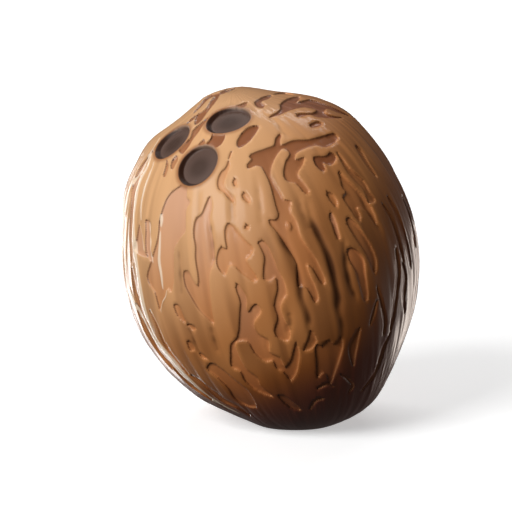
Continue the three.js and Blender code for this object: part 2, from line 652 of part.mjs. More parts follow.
// Height of the relief over the plain form along a direction
function relief(direction) {
  const eyeGap = Math.min(...eyes.map((eye) => eyeDistance(eye, direction)));
  const deepest = Math.max(...patches.map((patch) => distanceFrom(patch, direction)));
  const patch = -PATCH_DEPTH * smooth(0.5 + deepest / PATCH_WALL);
  const grooves = furrows.reduce((sum, furrow) => sum + furrowRelief(furrow, direction), 0);
  const outsideEye = smooth((eyeGap - EYE_RADIUS) / 0.8);
  const surface = (patch + grooves) * outsideEye + blisterRelief(direction);
  const eye = eyeGap < EYE_RADIUS + 6 ? eyeRelief(eyeGap) : 0;
  return (surface + eye) * smooth(footClearance(direction) / FOOT_BLEND);
}

function surfaceRadius(direction) {
  return Math.min(formRadius(direction) + relief(direction), floorRadius(direction));
}

// A set of directions in which no two are closer than a given gap
function sparseSet() {
  const cell = 0.03;
  const cells = new Map();
  const kept = [];
  const keyOf = (x, y, z) => `${x},${y},${z}`;
  const cellOf = (d) => [d.x, d.y, d.z].map((value) => Math.floor(value / cell));
  const clear = (direction, gap) => {
    const [x, y, z] = cellOf(direction);
    const limit = (gap / MEAN_RADIUS) ** 2;
    for (let i = -1; i <= 1; i++) {
      for (let j = -1; j <= 1; j++) {
        for (let k = -1; k <= 1; k++) {
          const others = cells.get(keyOf(x + i, y + j, z + k)) ?? [];
          if (others.some((other) => other.distanceToSquared(direction) < limit)) {
            return false;
          }
        }
      }
    }
    return true;
  };
  const add = (direction, gap) => {
    if (!clear(direction, gap)) {
      return;
    }
    const key = keyOf(...cellOf(direction));
    cells.set(key, [...(cells.get(key) ?? []), direction]);
    kept.push(direction);
  };
  return { kept, add };
}

// Points along a line of map points, evenly spaced, each with its sideways direction
function evenly(line, closed, step) {
  const ends = closed ? [...line, line[0]] : line;
  const lengths = [0];
  for (let i = 1; i < ends.length; i++) {
    const [s0, w0] = ends[i - 1];
    const [s1, w1] = ends[i];
    lengths.push(lengths[i - 1] + Math.hypot(s1 - s0, w1 - w0));
  }
  const total = lengths[lengths.length - 1];
  const count = Math.max(closed ? 5 : 2, Math.round(total / step));
  const places = [];
  let span = 1;
  for (let i = 0; i < count; i++) {
    const at = (total * (i + (closed ? 0 : 0.5))) / count;
    while (span < lengths.length - 1 && lengths[span] < at) {
      span += 1;
    }
    const [s0, w0] = ends[span - 1];
    const [s1, w1] = ends[span];
    const length = lengths[span] - lengths[span - 1] || 1;
    const part = (at - lengths[span - 1]) / length;
    const side = [(w1 - w0) / length, -(s1 - s0) / length];
    places.push({ at: [s0 + (s1 - s0) * part, w0 + (w1 - w0) * part], side });
  }
  return places;
}

function addPatchEdges(points) {
  const half = PATCH_WALL / 2 + 0.05;
  patches.forEach((patch) => {
    evenly(patch.line, true, patch.step).forEach(({ at, side }) => {
      [half, -half].forEach((offset) => {
        const direction = patch.map.toDirection(at[0] + side[0] * offset, at[1] + side[1] * offset);
        if (Math.abs(distanceFrom(patch, direction)) > half * 0.6) {
          points.add(direction, LEAST_GAP);
        }
      });
    });
  });
}

function addFurrowLines(points) {
  furrows.forEach((furrow) => {
    evenly(furrow.line, false, 1.4 * furrow.step).forEach(({ at, side }) => {
      [0, 1.5 * furrow.half, -1.5 * furrow.half].forEach((offset) => {
        const direction = furrow.map.toDirection(at[0] + side[0] * offset, at[1] + side[1] * offset);
        points.add(direction, 1.2);
      });
    });
  });
}

function addEyeRings(points) {
  const rings = [
    { radius: 0, count: 1 },
    { radius: 0.5 * EYE_FLOOR_RADIUS, count: 8 },
    { radius: EYE_FLOOR_RADIUS, count: 26 },
    { radius: EYE_RADIUS, count: 28 },
    { radius: EYE_RADIUS + 1, count: 26 },
    { radius: EYE_RADIUS + 3.2, count: 18 },
  ];
  eyes.forEach((eye) => {
    rings.forEach(({ radius, count }, ring) => {
      for (let i = 0; i < count; i++) {
        const angle = (2 * Math.PI * (i + 0.5 * (ring % 2))) / count;
        points.add(eyeDirection(eye, radius, angle), LEAST_GAP);
      }
    });
  });
}

// The edge of the flat spot, found where the plain form meets the floor, and rings beside it
function addFoot(points) {
  const count = 36;
  for (let i = 0; i < count; i++) {
    const angle = (2 * Math.PI * i) / count;
    let low = 1;
    let high = 3 * FOOT_RADIUS;
    const at = (radius) => new THREE.Vector3(radius * Math.cos(angle), radius * Math.sin(angle), 0)
      .sub(CENTRE).normalize();
    for (let round = 0; round < 40; round++) {
      const middle = (low + high) / 2;
      const inside = floorRadius(at(middle)) < formRadius(at(middle));
      low = inside ? middle : low;
      high = inside ? high : middle;
    }
    points.add(at(low), LEAST_GAP);
    points.add(at(low + 1.6), LEAST_GAP);
    if (i % 3 === 0) {
      points.add(at(low * 0.55), LEAST_GAP);
    }
  }
}

function addBlister(points) {
  points.add(blister.centre, LEAST_GAP);
  for (let i = 0; i < 8; i++) {
    const angle = (2 * Math.PI * i) / 8;
    const s = 1.5 * BLISTER.halfLength * Math.cos(angle);
    points.add(blister.toDirection(s, 1.5 * BLISTER.halfWidth * Math.sin(angle)), LEAST_GAP);
  }
}

function addFill(points) {
  const area = 4 * Math.PI * MEAN_RADIUS * MEAN_RADIUS;
  const count = Math.round(area / (0.866 * FILL_STEP * FILL_STEP));
  const golden = Math.PI * (3 - Math.sqrt(5));
  for (let i = 0; i < count; i++) {
    const z = 1 - (2 * (i + 0.5)) / count;
    const level = Math.sqrt(1 - z * z);
    const direction = new THREE.Vector3(level * Math.cos(golden * i), level * Math.sin(golden * i), z);
    const inFoot = floorRadius(direction) < formRadius(direction);
    if (!inFoot) {
      points.add(direction, FILL_CLEARANCE);
    }
  }
}

function meshDirections() {
  const points = sparseSet();
  addFoot(points);
  addEyeRings(points);
  addPatchEdges(points);
  addBlister(points);
  addFurrowLines(points);
  addFill(points);
  return points.kept;
}

// The solid's surface: the directions joined to their neighbours all round, then set at their radius
function nutGeometry() {
  const directions = meshDirections();
  const numbers = new Map(directions.map((direction, i) => [direction, i]));
  const hull = new ConvexHull().setFromPoints(directions);
  const index = [];
  hull.faces.forEach((face) => {
    let edge = face.edge;
    do {
      index.push(numbers.get(edge.head().point));
      edge = edge.next;
    } while (edge !== face.edge);
  });
  const positions = directions.flatMap((direction) => (
    direction.clone().multiplyScalar(surfaceRadius(direction)).add(CENTRE).toArray()
  ));
  const geometry = new THREE.BufferGeometry();
  geometry.setAttribute('position', new THREE.Float32BufferAttribute(positions, 3));
  geometry.setIndex(index);
  geometry.computeVertexNormals();
  return geometry;
}

const shell = new THREE.MeshStandardMaterial({ color: 0xb07a4c, roughness: 0.45, metalness: 0 });
const nut = new THREE.Mesh(nutGeometry(), shell);
nut.name = 'coconut';

const part = new THREE.Group();
part.name = 'coconut_part';
part.add(nut);

export default part;
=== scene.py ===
import math

import bpy
import numpy as np
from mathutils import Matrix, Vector, kdtree
from mathutils.geometry import delaunay_2d_cdt


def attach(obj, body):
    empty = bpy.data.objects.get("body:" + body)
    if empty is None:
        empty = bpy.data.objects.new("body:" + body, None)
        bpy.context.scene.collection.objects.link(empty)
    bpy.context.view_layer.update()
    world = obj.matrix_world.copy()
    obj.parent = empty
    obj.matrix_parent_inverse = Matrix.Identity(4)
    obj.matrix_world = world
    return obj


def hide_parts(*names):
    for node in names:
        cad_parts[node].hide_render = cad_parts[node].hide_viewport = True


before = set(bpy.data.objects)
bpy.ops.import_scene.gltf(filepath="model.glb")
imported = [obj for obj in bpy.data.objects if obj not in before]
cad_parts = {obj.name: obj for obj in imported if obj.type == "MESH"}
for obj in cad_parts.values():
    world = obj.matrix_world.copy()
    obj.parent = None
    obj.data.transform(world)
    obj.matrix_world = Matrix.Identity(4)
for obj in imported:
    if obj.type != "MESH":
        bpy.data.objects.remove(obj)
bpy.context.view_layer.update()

# A husked coconut in a plain studio. The nut's fine surface follows the same form as its solid:
# a rounded body, raised or lowered by a formula for the eyes, patches, furrows and one blister.
# Formulas work in millimetres; meshes, lights and the camera are in metres.
MM = 0.001

# The body, in millimetres, with the number of its soft ridges
WIDTH = 106
DEPTH = 108
CENTRE = np.array([-8.5, 2.3, 59.3])
MEAN_RADIUS = 55
RIDGES = 3
RIDGE_HEIGHT = 0.8
FOOT_RADIUS = 14
FOOT_BLEND = 5

# The eyes, in millimetres scaled so that every rim is at the eye radius
EYE_RADIUS = 7.1
EYE_FLOOR_RADIUS = 6.25
EYE_SLANT = 0.7
EYE_DEPTH = 1.4
EYE_BLEND = 0.8
EYE_REACH = 6
LIP_HEIGHT = 0.25
LIP_AWAY = 0.9
LIP_WIDTH = 1.1

# The low relief, in millimetres
PATCH_DEPTH = 0.56
PATCH_WALL = 0.36
WALL_LINE = 0.19
FURROW_DEPTH = 0.75
BROAD_DEPTH = 0.35
STRAND_DEPTH = 0.26
THREAD_HEIGHT = 0.2
THREAD_EDGE = 0.3

# Over which shares of its length a furrow fades at its upper and lower end, and after which share
# it pales again; the share of depth left at its ends and of darkness where it pales; and the most
# that furrows darken together
FURROW_FADE = (0.3, 0.12)
FURROW_WAVE = 0.39
FURROW_END = 0.35
FURROW_LEAST = 0.65
FURROW_DARKEST = 1.2

# How wide a furrow's soft shade is, in half widths, and the share of depth at which it sets in
SHADE_SPREAD = 2
SHADE_LEAST = 0.35

# The front sheet: the view from the front, a little above, 512 units square, v downwards. The
# viewer's distance is in millimetres and the elevation in degrees.
SHEET_SIZE = 512
SHEET_U = 271
SHEET_V = 257
NUT_UNITS = 297
VIEW_DISTANCE = 700
VIEW_ELEVATION = 9
UNIT = WIDTH / NUT_UNITS

# The fruit's own axis, in degrees: its lean to the left, its tilt towards the front, and how far
# the first ridge is turned round it
AXIS_LEAN = 13
AXIS_TILT = 14
RIDGE_TURN = 20

# The nut's outline on the sheet
OUTLINE = (
    (238, 87), (208, 95.3), (194.5, 105.5), (179, 118.8), (150, 140.8), (134.6, 165.4), (124.2, 191.8),
    (122.2, 225), (122.2, 257), (127.3, 295), (141.7, 334.6), (165.3, 368.8), (191, 391.5),
    (203.3, 400.2), (238.1, 416.5), (270, 428), (318, 428.4), (354, 415.6), (374, 400.4), (390, 373.5),
    (399.5, 352), (414, 310), (418.3, 285), (419.3, 257), (412.1, 212), (397.2, 176), (377.5, 144.6),
    (348, 112.1), (318.3, 97.8), (275, 91.3),
)

# Patches where the skin has come off, as outlines on the sheet
PATCHES = {
    "crown_hook": (
        (229, 88), (220, 94), (217, 99), (206, 113), (200, 121), (195, 124), (196, 115), (205, 109),
        (211, 100), (220, 92),
    ),
    "beside_upper_eye": (
        (208, 118), (201, 122), (193, 130), (190, 138), (182, 146), (179, 151), (182, 153.5),
        (187, 148), (193, 138), (202, 126.5),
    ),
    "between_eyes": (
        (213, 134), (225, 134), (224, 139), (219, 146), (214, 148), (207, 144), (211, 138),
    ),
    "eye_drop": ((204, 139), (205, 142), (201, 146.5), (199, 145), (201, 141)),
    "left_drop": ((176.5, 155.5), (177.5, 159), (174.5, 165), (172, 169), (170.5, 167), (172, 160)),
    "left_drop_low": ((167, 160), (168, 166), (166, 173), (164, 177), (162.8, 175), (165, 167)),
    "crown_dot": ((235, 107), (240, 104), (247, 102), (246, 105.5), (240, 108.5)),
    "crown_comma": (
        (254.5, 102), (260, 98), (266, 95.5), (272, 95), (268, 98.5), (261.5, 101), (265, 104.5),
        (262, 107.5), (257, 106),
    ),
    "crown_oval": (
        (259, 125.5), (253, 125.5), (246, 129), (240, 135), (236.5, 143), (239, 147), (249.5, 140.5),
        (256, 132),
    ),
    "brow_tail": (
        (228.5, 160), (225.5, 167), (220, 173), (217, 183), (219, 189.5), (224, 193), (229, 199),
        (234.5, 202), (231, 194), (225, 188), (224, 182), (227, 173), (230, 164),
    ),
    "pit_upper": ((235, 178), (237.3, 182), (235, 186), (232.7, 182)),
    "pit_lower": ((244.5, 192), (242, 195), (244.5, 200), (249.5, 203), (250.3, 200), (247, 194)),
    "pit_small": ((247, 224.5), (249.4, 227), (247, 229.5), (244.6, 227)),
    "pale_flank": (
        (187, 184), (173, 190), (167, 197), (163, 206), (159, 220), (157, 238), (150, 262), (146, 276),
        (148, 284), (154, 293), (157, 303), (159.5, 310), (162, 301), (165, 296), (167, 289),
        (170.5, 292.5), (173, 282), (173, 266), (173.5, 248), (180, 237), (184.5, 231), (185, 218),
        (186, 208), (189.5, 202), (186, 196),
    ),
    "long_flank": (
        (209.5, 196), (205, 205), (201, 214), (196, 218), (193.5, 227), (193.5, 237), (195, 246),
        (195, 258), (198, 280), (197, 285.6), (193, 281), (189, 273.5), (186, 270.7), (182.8, 273),
        (184.3, 285.6), (188, 293), (197.3, 308.6), (203.8, 316), (213.5, 324.3), (212, 313),
        (210.2, 297), (209.4, 274), (213.5, 262), (212, 240), (209, 222), (209.6, 214.6), (211.5, 207),
        (210.8, 200),
    ),
    "heart": (
        (228, 223), (233, 226), (244.6, 239.5), (253, 248), (251, 255), (246.6, 260), (250, 267),
        (257.4, 279), (254, 281.5), (245, 276), (239.5, 271.7), (233, 265.5), (229, 266), (225, 275),
        (219, 270), (216, 260), (220.5, 247), (226, 248.5), (225, 240), (224.8, 230),
    ),
    "fork": (
        (280.3, 133), (275.8, 138), (274, 144.7), (268.3, 147.2), (251, 153.8), (249.5, 156.5),
        (251.5, 158.8), (247, 164.6), (248, 168), (256, 165.4), (261, 166.3), (265.2, 172.9),
        (270, 183), (275.5, 204), (278.4, 215.5), (275.5, 219.4), (269, 219.5), (270.2, 224.2),
        (276.5, 231.2), (288, 248.4), (297, 264.5), (299, 287), (303.6, 286.4), (308.7, 290.8),
        (315.7, 303), (318.6, 300.5), (317.6, 291.5), (308, 269), (308, 265), (312.5, 268.5),
        (319.5, 280), (324, 285), (326, 282), (320.2, 267), (316.4, 259), (301.7, 237.6), (299, 229.3),
        (296, 220.4), (290.5, 211), (291, 201), (284.5, 199), (280.7, 193), (271, 175), (272.4, 164),
        (279.5, 151), (284, 147.8), (290, 153), (285.5, 162), (284, 175), (287.4, 180.4),
        (295.7, 182.8), (306.4, 193.6), (309.6, 191.5), (304.8, 183.7), (298, 173.7), (303, 164),
        (304.6, 157), (296, 158.8), (296, 153.5), (304.8, 148), (316.4, 144.7), (326.3, 146.8),
        (338.5, 138), (334.6, 133), (325.5, 134.8), (310, 139), (293.2, 140), (281.5, 144),
        (280.3, 139.7), (281.6, 134.8),
    ),
    "crown_band": (
        (268.7, 116.5), (280.7, 109), (280.5, 104), (290, 97.4), (300.6, 96.8), (297, 101.5), (309, 99),
        (321.4, 102), (342, 110.7), (351, 116.5), (339.6, 112.4), (326.3, 108), (325, 111), (332, 115),
        (343, 117.3), (318, 116.5), (310, 114), (298, 116.5), (297, 113.5), (313, 112.4),
        (317.2, 109.5), (305.6, 106.6), (289, 110), (279, 114.5),
    ),
    "crown_chip": ((310, 124.4), (318, 120.8), (323, 123.4), (313, 127)),
    "claw": (
        (314, 156.5), (315.6, 163.8), (319.7, 168.7), (324, 171), (326, 168), (324, 162.5),
        (332, 164.3), (337, 157.5), (335.5, 154.7), (330.5, 152.2), (326.5, 155.5),
    ),
    "shoulder_strip": (
        (337, 151), (340, 157), (347, 170), (355, 179.5), (364.5, 189.5), (370, 203), (376, 200.5),
        (371, 192), (364.5, 180.4), (351, 168), (343, 157),
    ),
    "shoulder_slip": (
        (339, 171), (341, 180), (343, 187), (346.5, 192), (343.5, 197), (348, 205), (360, 221),
        (361.5, 216), (358, 207), (366, 209.5), (378, 225), (372, 207), (358.4, 190), (350, 181.5),
    ),
    "shoulder_sliver": ((327, 192.5), (330, 199.5), (337, 207), (338, 203), (335.5, 197), (331, 192.5)),
    "right_slit": (
        (331, 212.5), (330, 217), (333, 225), (337.7, 238), (340.5, 239), (338.7, 229), (333.6, 214.6),
    ),
    "right_blade": (
        (346.5, 220), (348.5, 217.5), (355, 222), (363, 232), (372, 246), (377.5, 262), (375.5, 274),
        (367, 255), (353.5, 234),
    ),
    "right_finger": (
        (348.5, 249), (352, 248), (358, 251), (364, 259), (366.5, 275), (368.5, 300), (365.5, 301),
        (361.5, 291), (356.5, 272), (350, 260),
    ),
    "middle_stem": (
        (258, 242.5), (262, 240.5), (267, 245), (274, 259), (277, 268), (284, 280.5), (286.7, 294),
        (283, 300.5), (280.7, 308), (285.5, 321.5), (290.5, 331), (290, 339), (286, 341.8),
        (277.5, 338), (274.6, 331), (277.8, 319), (274.3, 306), (277.5, 288.5), (275.5, 278),
        (269, 281.3), (264, 279.5), (263.6, 268), (264.4, 257.4), (260, 246.5),
    ),
    "lower_mass": (
        (237, 283.8), (241.5, 289.5), (246.6, 299), (246.3, 310), (248.5, 312.5), (253, 306),
        (256.5, 304.5), (261, 311.5), (254.8, 321.4), (254, 328), (258.3, 334.6), (268.5, 341),
        (270, 353), (280, 358.5), (285.3, 368), (290.4, 363), (293.5, 352.2), (296.3, 344),
        (299.6, 353), (298.8, 363.7), (296, 375), (291.2, 381.3), (283.5, 372.5), (277, 369.5),
        (272.8, 361.4), (266, 362.5), (254.4, 353.7), (246.8, 342.2), (235.3, 343.8), (240, 359),
        (246.8, 370.6), (257.5, 379), (260, 386), (272.5, 397), (258, 392), (245.2, 382), (240, 372),
        (231.5, 367.5), (230.5, 355), (231, 344.5), (237, 338), (239.5, 312.5), (240, 302),
        (235.7, 288),
    ),
    "lower_tongue": (
        (206.5, 369), (210, 364), (216, 366), (238, 383.5), (248, 391.5), (256, 408), (245, 406),
        (234.5, 399.5), (228, 389.5), (217.5, 379),
    ),
    "flank_chip": ((173.5, 305), (177, 304.8), (181, 312), (184.5, 323.5), (177.5, 317)),
    "flank_speck": ((186, 325.5), (191, 325), (195.5, 329.5), (192.5, 331.5)),
    "flank_drop": ((186.5, 342), (189.5, 342.3), (194, 351), (190, 351.5)),
    "flank_tick": ((198.5, 354.3), (201.5, 354.5), (207, 360), (202, 358.8)),
    "left_blade": (
        (145.5, 219.5), (149, 222), (149.7, 235), (150, 250), (153, 263.5), (146.5, 257), (144.5, 245),
        (145, 230),
    ),
    "left_rim_blade": (
        (138.5, 225), (141.5, 235), (143.6, 252), (146, 257), (138, 254.5), (133.7, 249.5),
        (135.3, 240),
    ),
    "low_triangle": (
        (311.5, 331.5), (317, 341), (314.5, 346.5), (309, 350.7), (304.3, 350.5), (308, 340),
    ),
    "low_right": (
        (316.5, 345.5), (322.5, 346), (329.5, 340.5), (335, 345), (341, 338.6), (343.7, 343),
        (340, 359.7), (337.5, 368), (330, 386), (327, 376), (323, 373.5), (318, 378), (316.8, 362),
    ),
    "low_spike": (
        (360.5, 328), (359, 340), (356, 356), (354, 367), (350.5, 358), (349.5, 348), (355, 335),
    ),
    "heel_chip": ((278, 396.5), (284, 397), (297, 406.5), (301, 411.5), (290, 408.5)),
}

# Long narrow patches: their widths in sheet units and their middle lines on the sheet
STREAKS = {
    "crown": (2.6, ((235, 88), (223, 92.3), (209, 96.7), (200.5, 105), (194, 112))),
    "brow": (2.2, ((195.5, 115), (191, 119.5), (187, 123.5))),
    "crown_sliver": (1.6, ((274, 94), (283, 92.8), (293, 94))),
    "dash": (1.6, ((231.5, 151), (229, 158))),
    "left_rim": (4.5, ((153, 151), (142, 166), (134.5, 184), (132, 205), (130.5, 230), (130.8, 262))),
    "left_rim_low": (4.2, (
        (130.6, 268), (135, 295), (145, 322), (158, 347), (175, 369), (192, 386), (212, 400),
    )),
    "left_edge_low": (3, ((135, 304), (144, 328), (157, 350), (172, 369))),
    "left_inner_low": (3, ((149, 311), (156, 325), (164.5, 345), (175, 360), (188, 375))),
    "heel_long": (3.4, ((191, 376), (203, 385.5), (222, 400), (238, 408), (250, 416))),
    "right_rim_dark": (4, ((388, 196), (396, 211), (401.5, 226), (406, 240), (409.5, 254), (412, 268))),
    "right_rim_inner": (3, ((383, 203), (391, 216), (397, 232), (401, 247), (404.5, 262))),
    "right_rim_outer": (2.4, ((403, 196), (409.5, 212), (414, 230), (416, 245))),
    "right_rim_low": (3.6, ((403, 262), (406, 276), (404.5, 296), (405.5, 314))),
    "right_gloss": (4, ((396.5, 248), (399, 268), (397, 292), (394.5, 312), (391, 331))),
    "right_edge_low": (3, ((391, 333), (385, 346), (380, 362), (373, 378), (362, 391))),
    "right_fork": (2.6, ((377.5, 287.5), (382, 303), (385.5, 322), (384, 336))),
    "right_split": (2.2, ((377, 301), (373.5, 316), (370.5, 325))),
    "heel_right": (3, ((341, 375), (348, 380), (353, 386), (349, 393))),
    "heel_middle": (2.6, ((318, 389), (327, 384.5), (334, 388))),
    "heel_hook": (2.6, ((310, 410), (316, 401), (324, 399))),
    "shoulder_dark": (4, ((356.5, 145), (361, 151), (368, 163), (377, 176))),
}

# Furrows: half widths in millimetres, shares of the full depth, and lines on the sheet
FURROWS = {
    "flank": (1.1, 0.8, ((208, 216), (210, 232), (212, 250), (213.5, 264))),
    "main": (1.3, 1.2, ((308, 204), (314, 224), (327, 250), (333, 269), (338, 290), (341, 310))),
    "right": (1.1, 0.9, ((345, 243), (346.5, 260), (350, 281), (357, 300))),
    "stem": (1.2, 1, (
        (268, 218), (281, 239), (293, 258), (299.5, 280), (301.5, 298), (308, 314), (311, 332),
    )),
    "middle": (1.2, 0.7, ((288, 308), (290, 320), (288.5, 334))),
    "low_flank": (1.1, 0.7, ((185, 322), (190.5, 336), (198.5, 355))),
    "low_middle": (1.2, 0.7, ((209, 322), (212, 336), (217.5, 353))),
    "left_long": (1.2, 0.6, ((177, 240), (178.5, 268), (181, 298))),
    "top": (1.3, 0.45, ((234, 186), (231, 205), (232, 222))),
    "top_right": (1.3, 0.45, ((256, 178), (259, 200), (262, 226))),
    "main_low": (1.3, 0.7, ((334, 296), (340, 314), (343, 330), (342, 344))),
    "beside_main": (1.2, 0.5, ((299, 194), (301, 206), (305, 218), (311, 230))),
    "shoulder": (1.1, 0.6, ((360, 192), (366, 203), (373, 217), (382, 231))),
    "seam": (0.9, 0.5, ((262, 113), (275, 120.5), (282, 130), (289, 137))),
}

# Raised threads on the lit side, coloured pale as a painted highlight: their widths and middle lines,
# as for the long patches
THREADS = {
    "rim_main": (3.2, (
        (153, 150), (148, 166), (141.3, 178.6), (137.7, 189.3), (135.5, 202), (133.6, 214), (133, 228),
        (133.6, 242), (134.8, 255), (137, 270), (139.5, 287), (143.5, 308), (147.5, 321), (153, 335),
        (161, 347), (178, 367), (194, 384), (213, 400), (240, 414),
    )),
    "rim_outer": (1.8, (
        (160, 137.5), (147.5, 157), (139.5, 171.4), (132.3, 182), (129.2, 189.3), (127, 202.7),
        (125.2, 216),
    )),
    "rim_outer_low": (2, (
        (128.7, 288), (134, 302.8), (139, 314.4), (146.5, 329.4), (156, 345), (170, 363), (186, 380),
        (203, 393),
    )),
    "rim_inner": (1.3, ((154.6, 161.6), (149.3, 175), (144.8, 187.5), (141.3, 202.7), (140.5, 220))),
    "blade_left": (1.6, ((139.6, 226), (141.5, 238), (143.5, 251))),
    "blade_middle": (1.8, ((148, 221.5), (149, 233), (150.3, 241.5), (149.8, 250), (151.5, 263))),
    "flank_upper": (2.4, ((160.6, 214), (160.4, 220), (159.8, 226.5))),
    "flank_lower": (2.8, ((159, 231), (158, 250), (157.6, 261), (159.8, 275), (161.4, 289.5))),
    "flank_hook": (1.6, ((166.4, 290.4), (164.8, 297), (161.4, 302.8), (160.4, 310.3))),
    "low_inner": (1.8, ((149.8, 309.5), (153, 317.7), (159, 329.4), (165, 343))),
}

# The colour of patch floors: -1 dark brown, 0 as the skin round them, 1 pale. A pair goes from
# the patch's upper end to its lower end. On the sides and back they are plain round the girth and
# dark towards the crown, between the given heights along the fruit's axis.
PLAIN_TONE = 0.1
CROWN_TONE = -0.9
CROWN_HEIGHTS = (0.35, 0.85)
PATCH_TONES = {
    "crown_band": -1,
    "crown_oval": -1,
    "crown_comma": -0.9,
    "crown_hook": -0.8,
    "crown_chip": -0.8,
    "crown_dot": -0.7,
    "crown": -0.9,
    "brow": -0.8,
    "between_eyes": -0.9,
    "beside_upper_eye": -0.7,
    "eye_drop": -0.6,
    "left_drop": -0.5,
    "left_drop_low": -0.45,
    "claw": -0.9,
    "fork": (-0.9, 0.4),
    "middle_stem": 0.35,
    "lower_mass": 0.4,
    "lower_tongue": 0.3,
    "brow_tail": 0.2,
    "pale_flank": (1, 0.1),
    "long_flank": (0.8, 0.1),
    "heart": (0.3, -0.1),
    "right_finger": 1,
    "right_slit": 0.7,
    "right_blade": 0.4,
    "left_blade": 0.8,
    "left_rim_blade": 0.7,
    "left_rim": 0.7,
    "left_rim_low": 0.3,
}

# The three oval eyes: their middles on the sheet, half their length and width in millimetres,
# and the turn of their length from the fruit's axis in degrees
EYES = {
    "outer": {"middle": (171.3, 141.4), "half_length": 7.35, "half_width": 6.65, "turn": 176},
    "upper": {"middle": (227.7, 119.4), "half_length": 7.5, "half_width": 6.35, "turn": 84},
    "lower": {"middle": (197, 165.1), "half_length": 7.8, "half_width": 6.95, "turn": 25},
}

# The one raised blister on the front
BLISTER = {"centre": (289.3, 226), "half_width": 0.9, "half_length": 1.5, "height": 0.5}

# Patches and furrows on the sides and back, drawn by one rule all round. They are hidden where a
# direction's part towards the viewer stays under the limit. Lengths, widths and gaps are in
# millimetres, and angles down from the crown in radians. Patches shrink by a power from the
# longest to the shortest.
HIDDEN_SEED = 20714
HIDDEN_PATCHES = 62
HIDDEN_FURROWS = 14
HIDDEN_TRIES = 4000
HIDDEN_LIMIT = 0.1
HIDDEN_GAP = 1.7
HIDDEN_FOOT_GAP = 2
HIDDEN_LENGTH = (7, 30)
HIDDEN_WIDTH = (1, 3.2)
HIDDEN_SHRINK = 1.5
HIDDEN_DOWN = (0.16, 2.98)

# Their random measures, each as its least value and the most that is added to it
BLOB_WIDTH = (0.4, 1)
BLOB_SWAY = (0.3, 0.9)
BLOB_SWELL = (0.6, 0.6)
LINE_DOWN = (0.7, 1.5)
LINE_LENGTH = (0.25, 0.5)
LINE_SHARE = (0.5, 0.6)

# A blob's stations, the radians that it sways through, and where in a half wave its width begins
# and how much of the wave it takes
BLOB_STATIONS = 7
BLOB_WAVES = 4.2
BLOB_ENDS = (0.04, 0.92)

# A hidden furrow's bend and the radians that it bends through, its half width and its points
LINE_BEND = 0.12
LINE_WAVES = 5
LINE_REACH = 1.2
LINE_PARTS = (0, 0.25, 0.5, 0.75, 1)

# Steps of an even spread of places over the nut, as shares of its height and of a full turn
SPREAD_DOWN = 0.7548777
SPREAD_TURN = 0.5698403

# Broad flutes and raised strands: how many there are round the nut, and rows of them along it
BROAD_FLUTES = 120
BROAD_ROWS = 7
STRANDS = 200
STRAND_ROWS = 9
STRAND_EDGE = 0.5
FLUTE_SEED = 4117

# The side begins where a direction's part towards the viewer falls below this, and sets in over this
SIDE_BEGINS = 0.75
SIDE_BLEND = 0.45

# How much painted shade darkens the skin: in the middle, how much that changes from side to side,
# how much lighter it is in front and darker below, and where the lower part begins
PAINTED_SHADE_MIDDLE = 0.5
PAINTED_SHADE_SIDES = 0.44
PAINTED_LIGHT_FRONT = 0.215
PAINTED_SHADE_BELOW = 0.13
BELOW_BEGINS = 0.4
BELOW_BLEND = 0.5

# Mesh steps, rows and gaps, in millimetres
EDGE_STEP = 0.62
EYE_STEP = 0.62
FILL_STEP = 1.2
COLUMN_GAP = 0.36
FILL_CLEARANCE = 0.42
LEAST_GAP = 0.12
WALL_ROW = 0.075
WALL_MARGIN = 0.07
THREAD_ROW = 0.14
FOOT_ROW = 0.6

# Counts of points: columns along the nut, at least so many of them, spokes, and points of an edge
FILL_COLUMNS = 600
LEAST_COLUMNS = 20
FOOT_SPOKES = 120
BLISTER_SPOKES = 22
LEAST_POINTS = 8

# Mesh rings: radii in an eye, and shares of the blister's and the flat spot's size
EYE_RINGS = (0.9, 1.8, 2.7, 3.6, 4.4, 5.1, 5.6, 6, 6.25, 6.5, 6.75, 7, 7.25, 7.6, 8.1, 8.7, 9.4)
BLISTER_RINGS = (0, 0.35, 0.6, 0.8, 1, 1.2, 1.45, 1.75)
FOOT_RINGS = (0.75, 0.5, 0.25)

# Steps between two given points of the nut's outline, of a patch and of a line, and how blunt the
# ends of a long patch are, in steps
OUTLINE_SPAN = 40
PATCH_SPAN = 3
LINE_SPAN = 4
STREAK_END = 0.4

# Rounds of the searches, and the share of the nut's radius up to which a sheet point is taken
AIM_ROUNDS = 14
FOOT_ROUNDS = 40
EDGE_SHARE = 0.998

# How far round a shape its effect reaches, in millimetres
PATCH_REACH = 4
FURROW_REACH = 6
THREAD_REACH = 1

# Values beyond any real one, and small ones that keep divisions safe
FAR_AWAY = 99.0
NO_PATCH = -9.0
TINY = 1e-12
SMALL = 1e-6

# The factor and the limit of the random draws
DRAW_FACTOR = 16807
DRAW_LIMIT = 2147483647

# Directions meet the floor when their downward part is more than the first of these; the maps of an
# eye and of the blister hold where a direction's part along their middle is more than the others
LEAST_DOWN = 0.2
EYE_HOLDS = 0.8
BLISTER_HOLDS = 0.9


def smooth(value):
    t = np.clip(value, 0, 1)
    return t * t * (3 - 2 * t)


def unit_rows(rows):
    return rows / np.linalg.norm(rows, axis=-1, keepdims=True)


# Directions of the sheet: right, up and towards the viewer, from the front and a little above
TILT = math.radians(VIEW_ELEVATION)
RIGHT = np.array([1.0, 0.0, 0.0])
UP = np.array([0.0, math.sin(TILT), math.cos(TILT)])
TOWARDS = np.array([0.0, -math.cos(TILT), math.sin(TILT)])

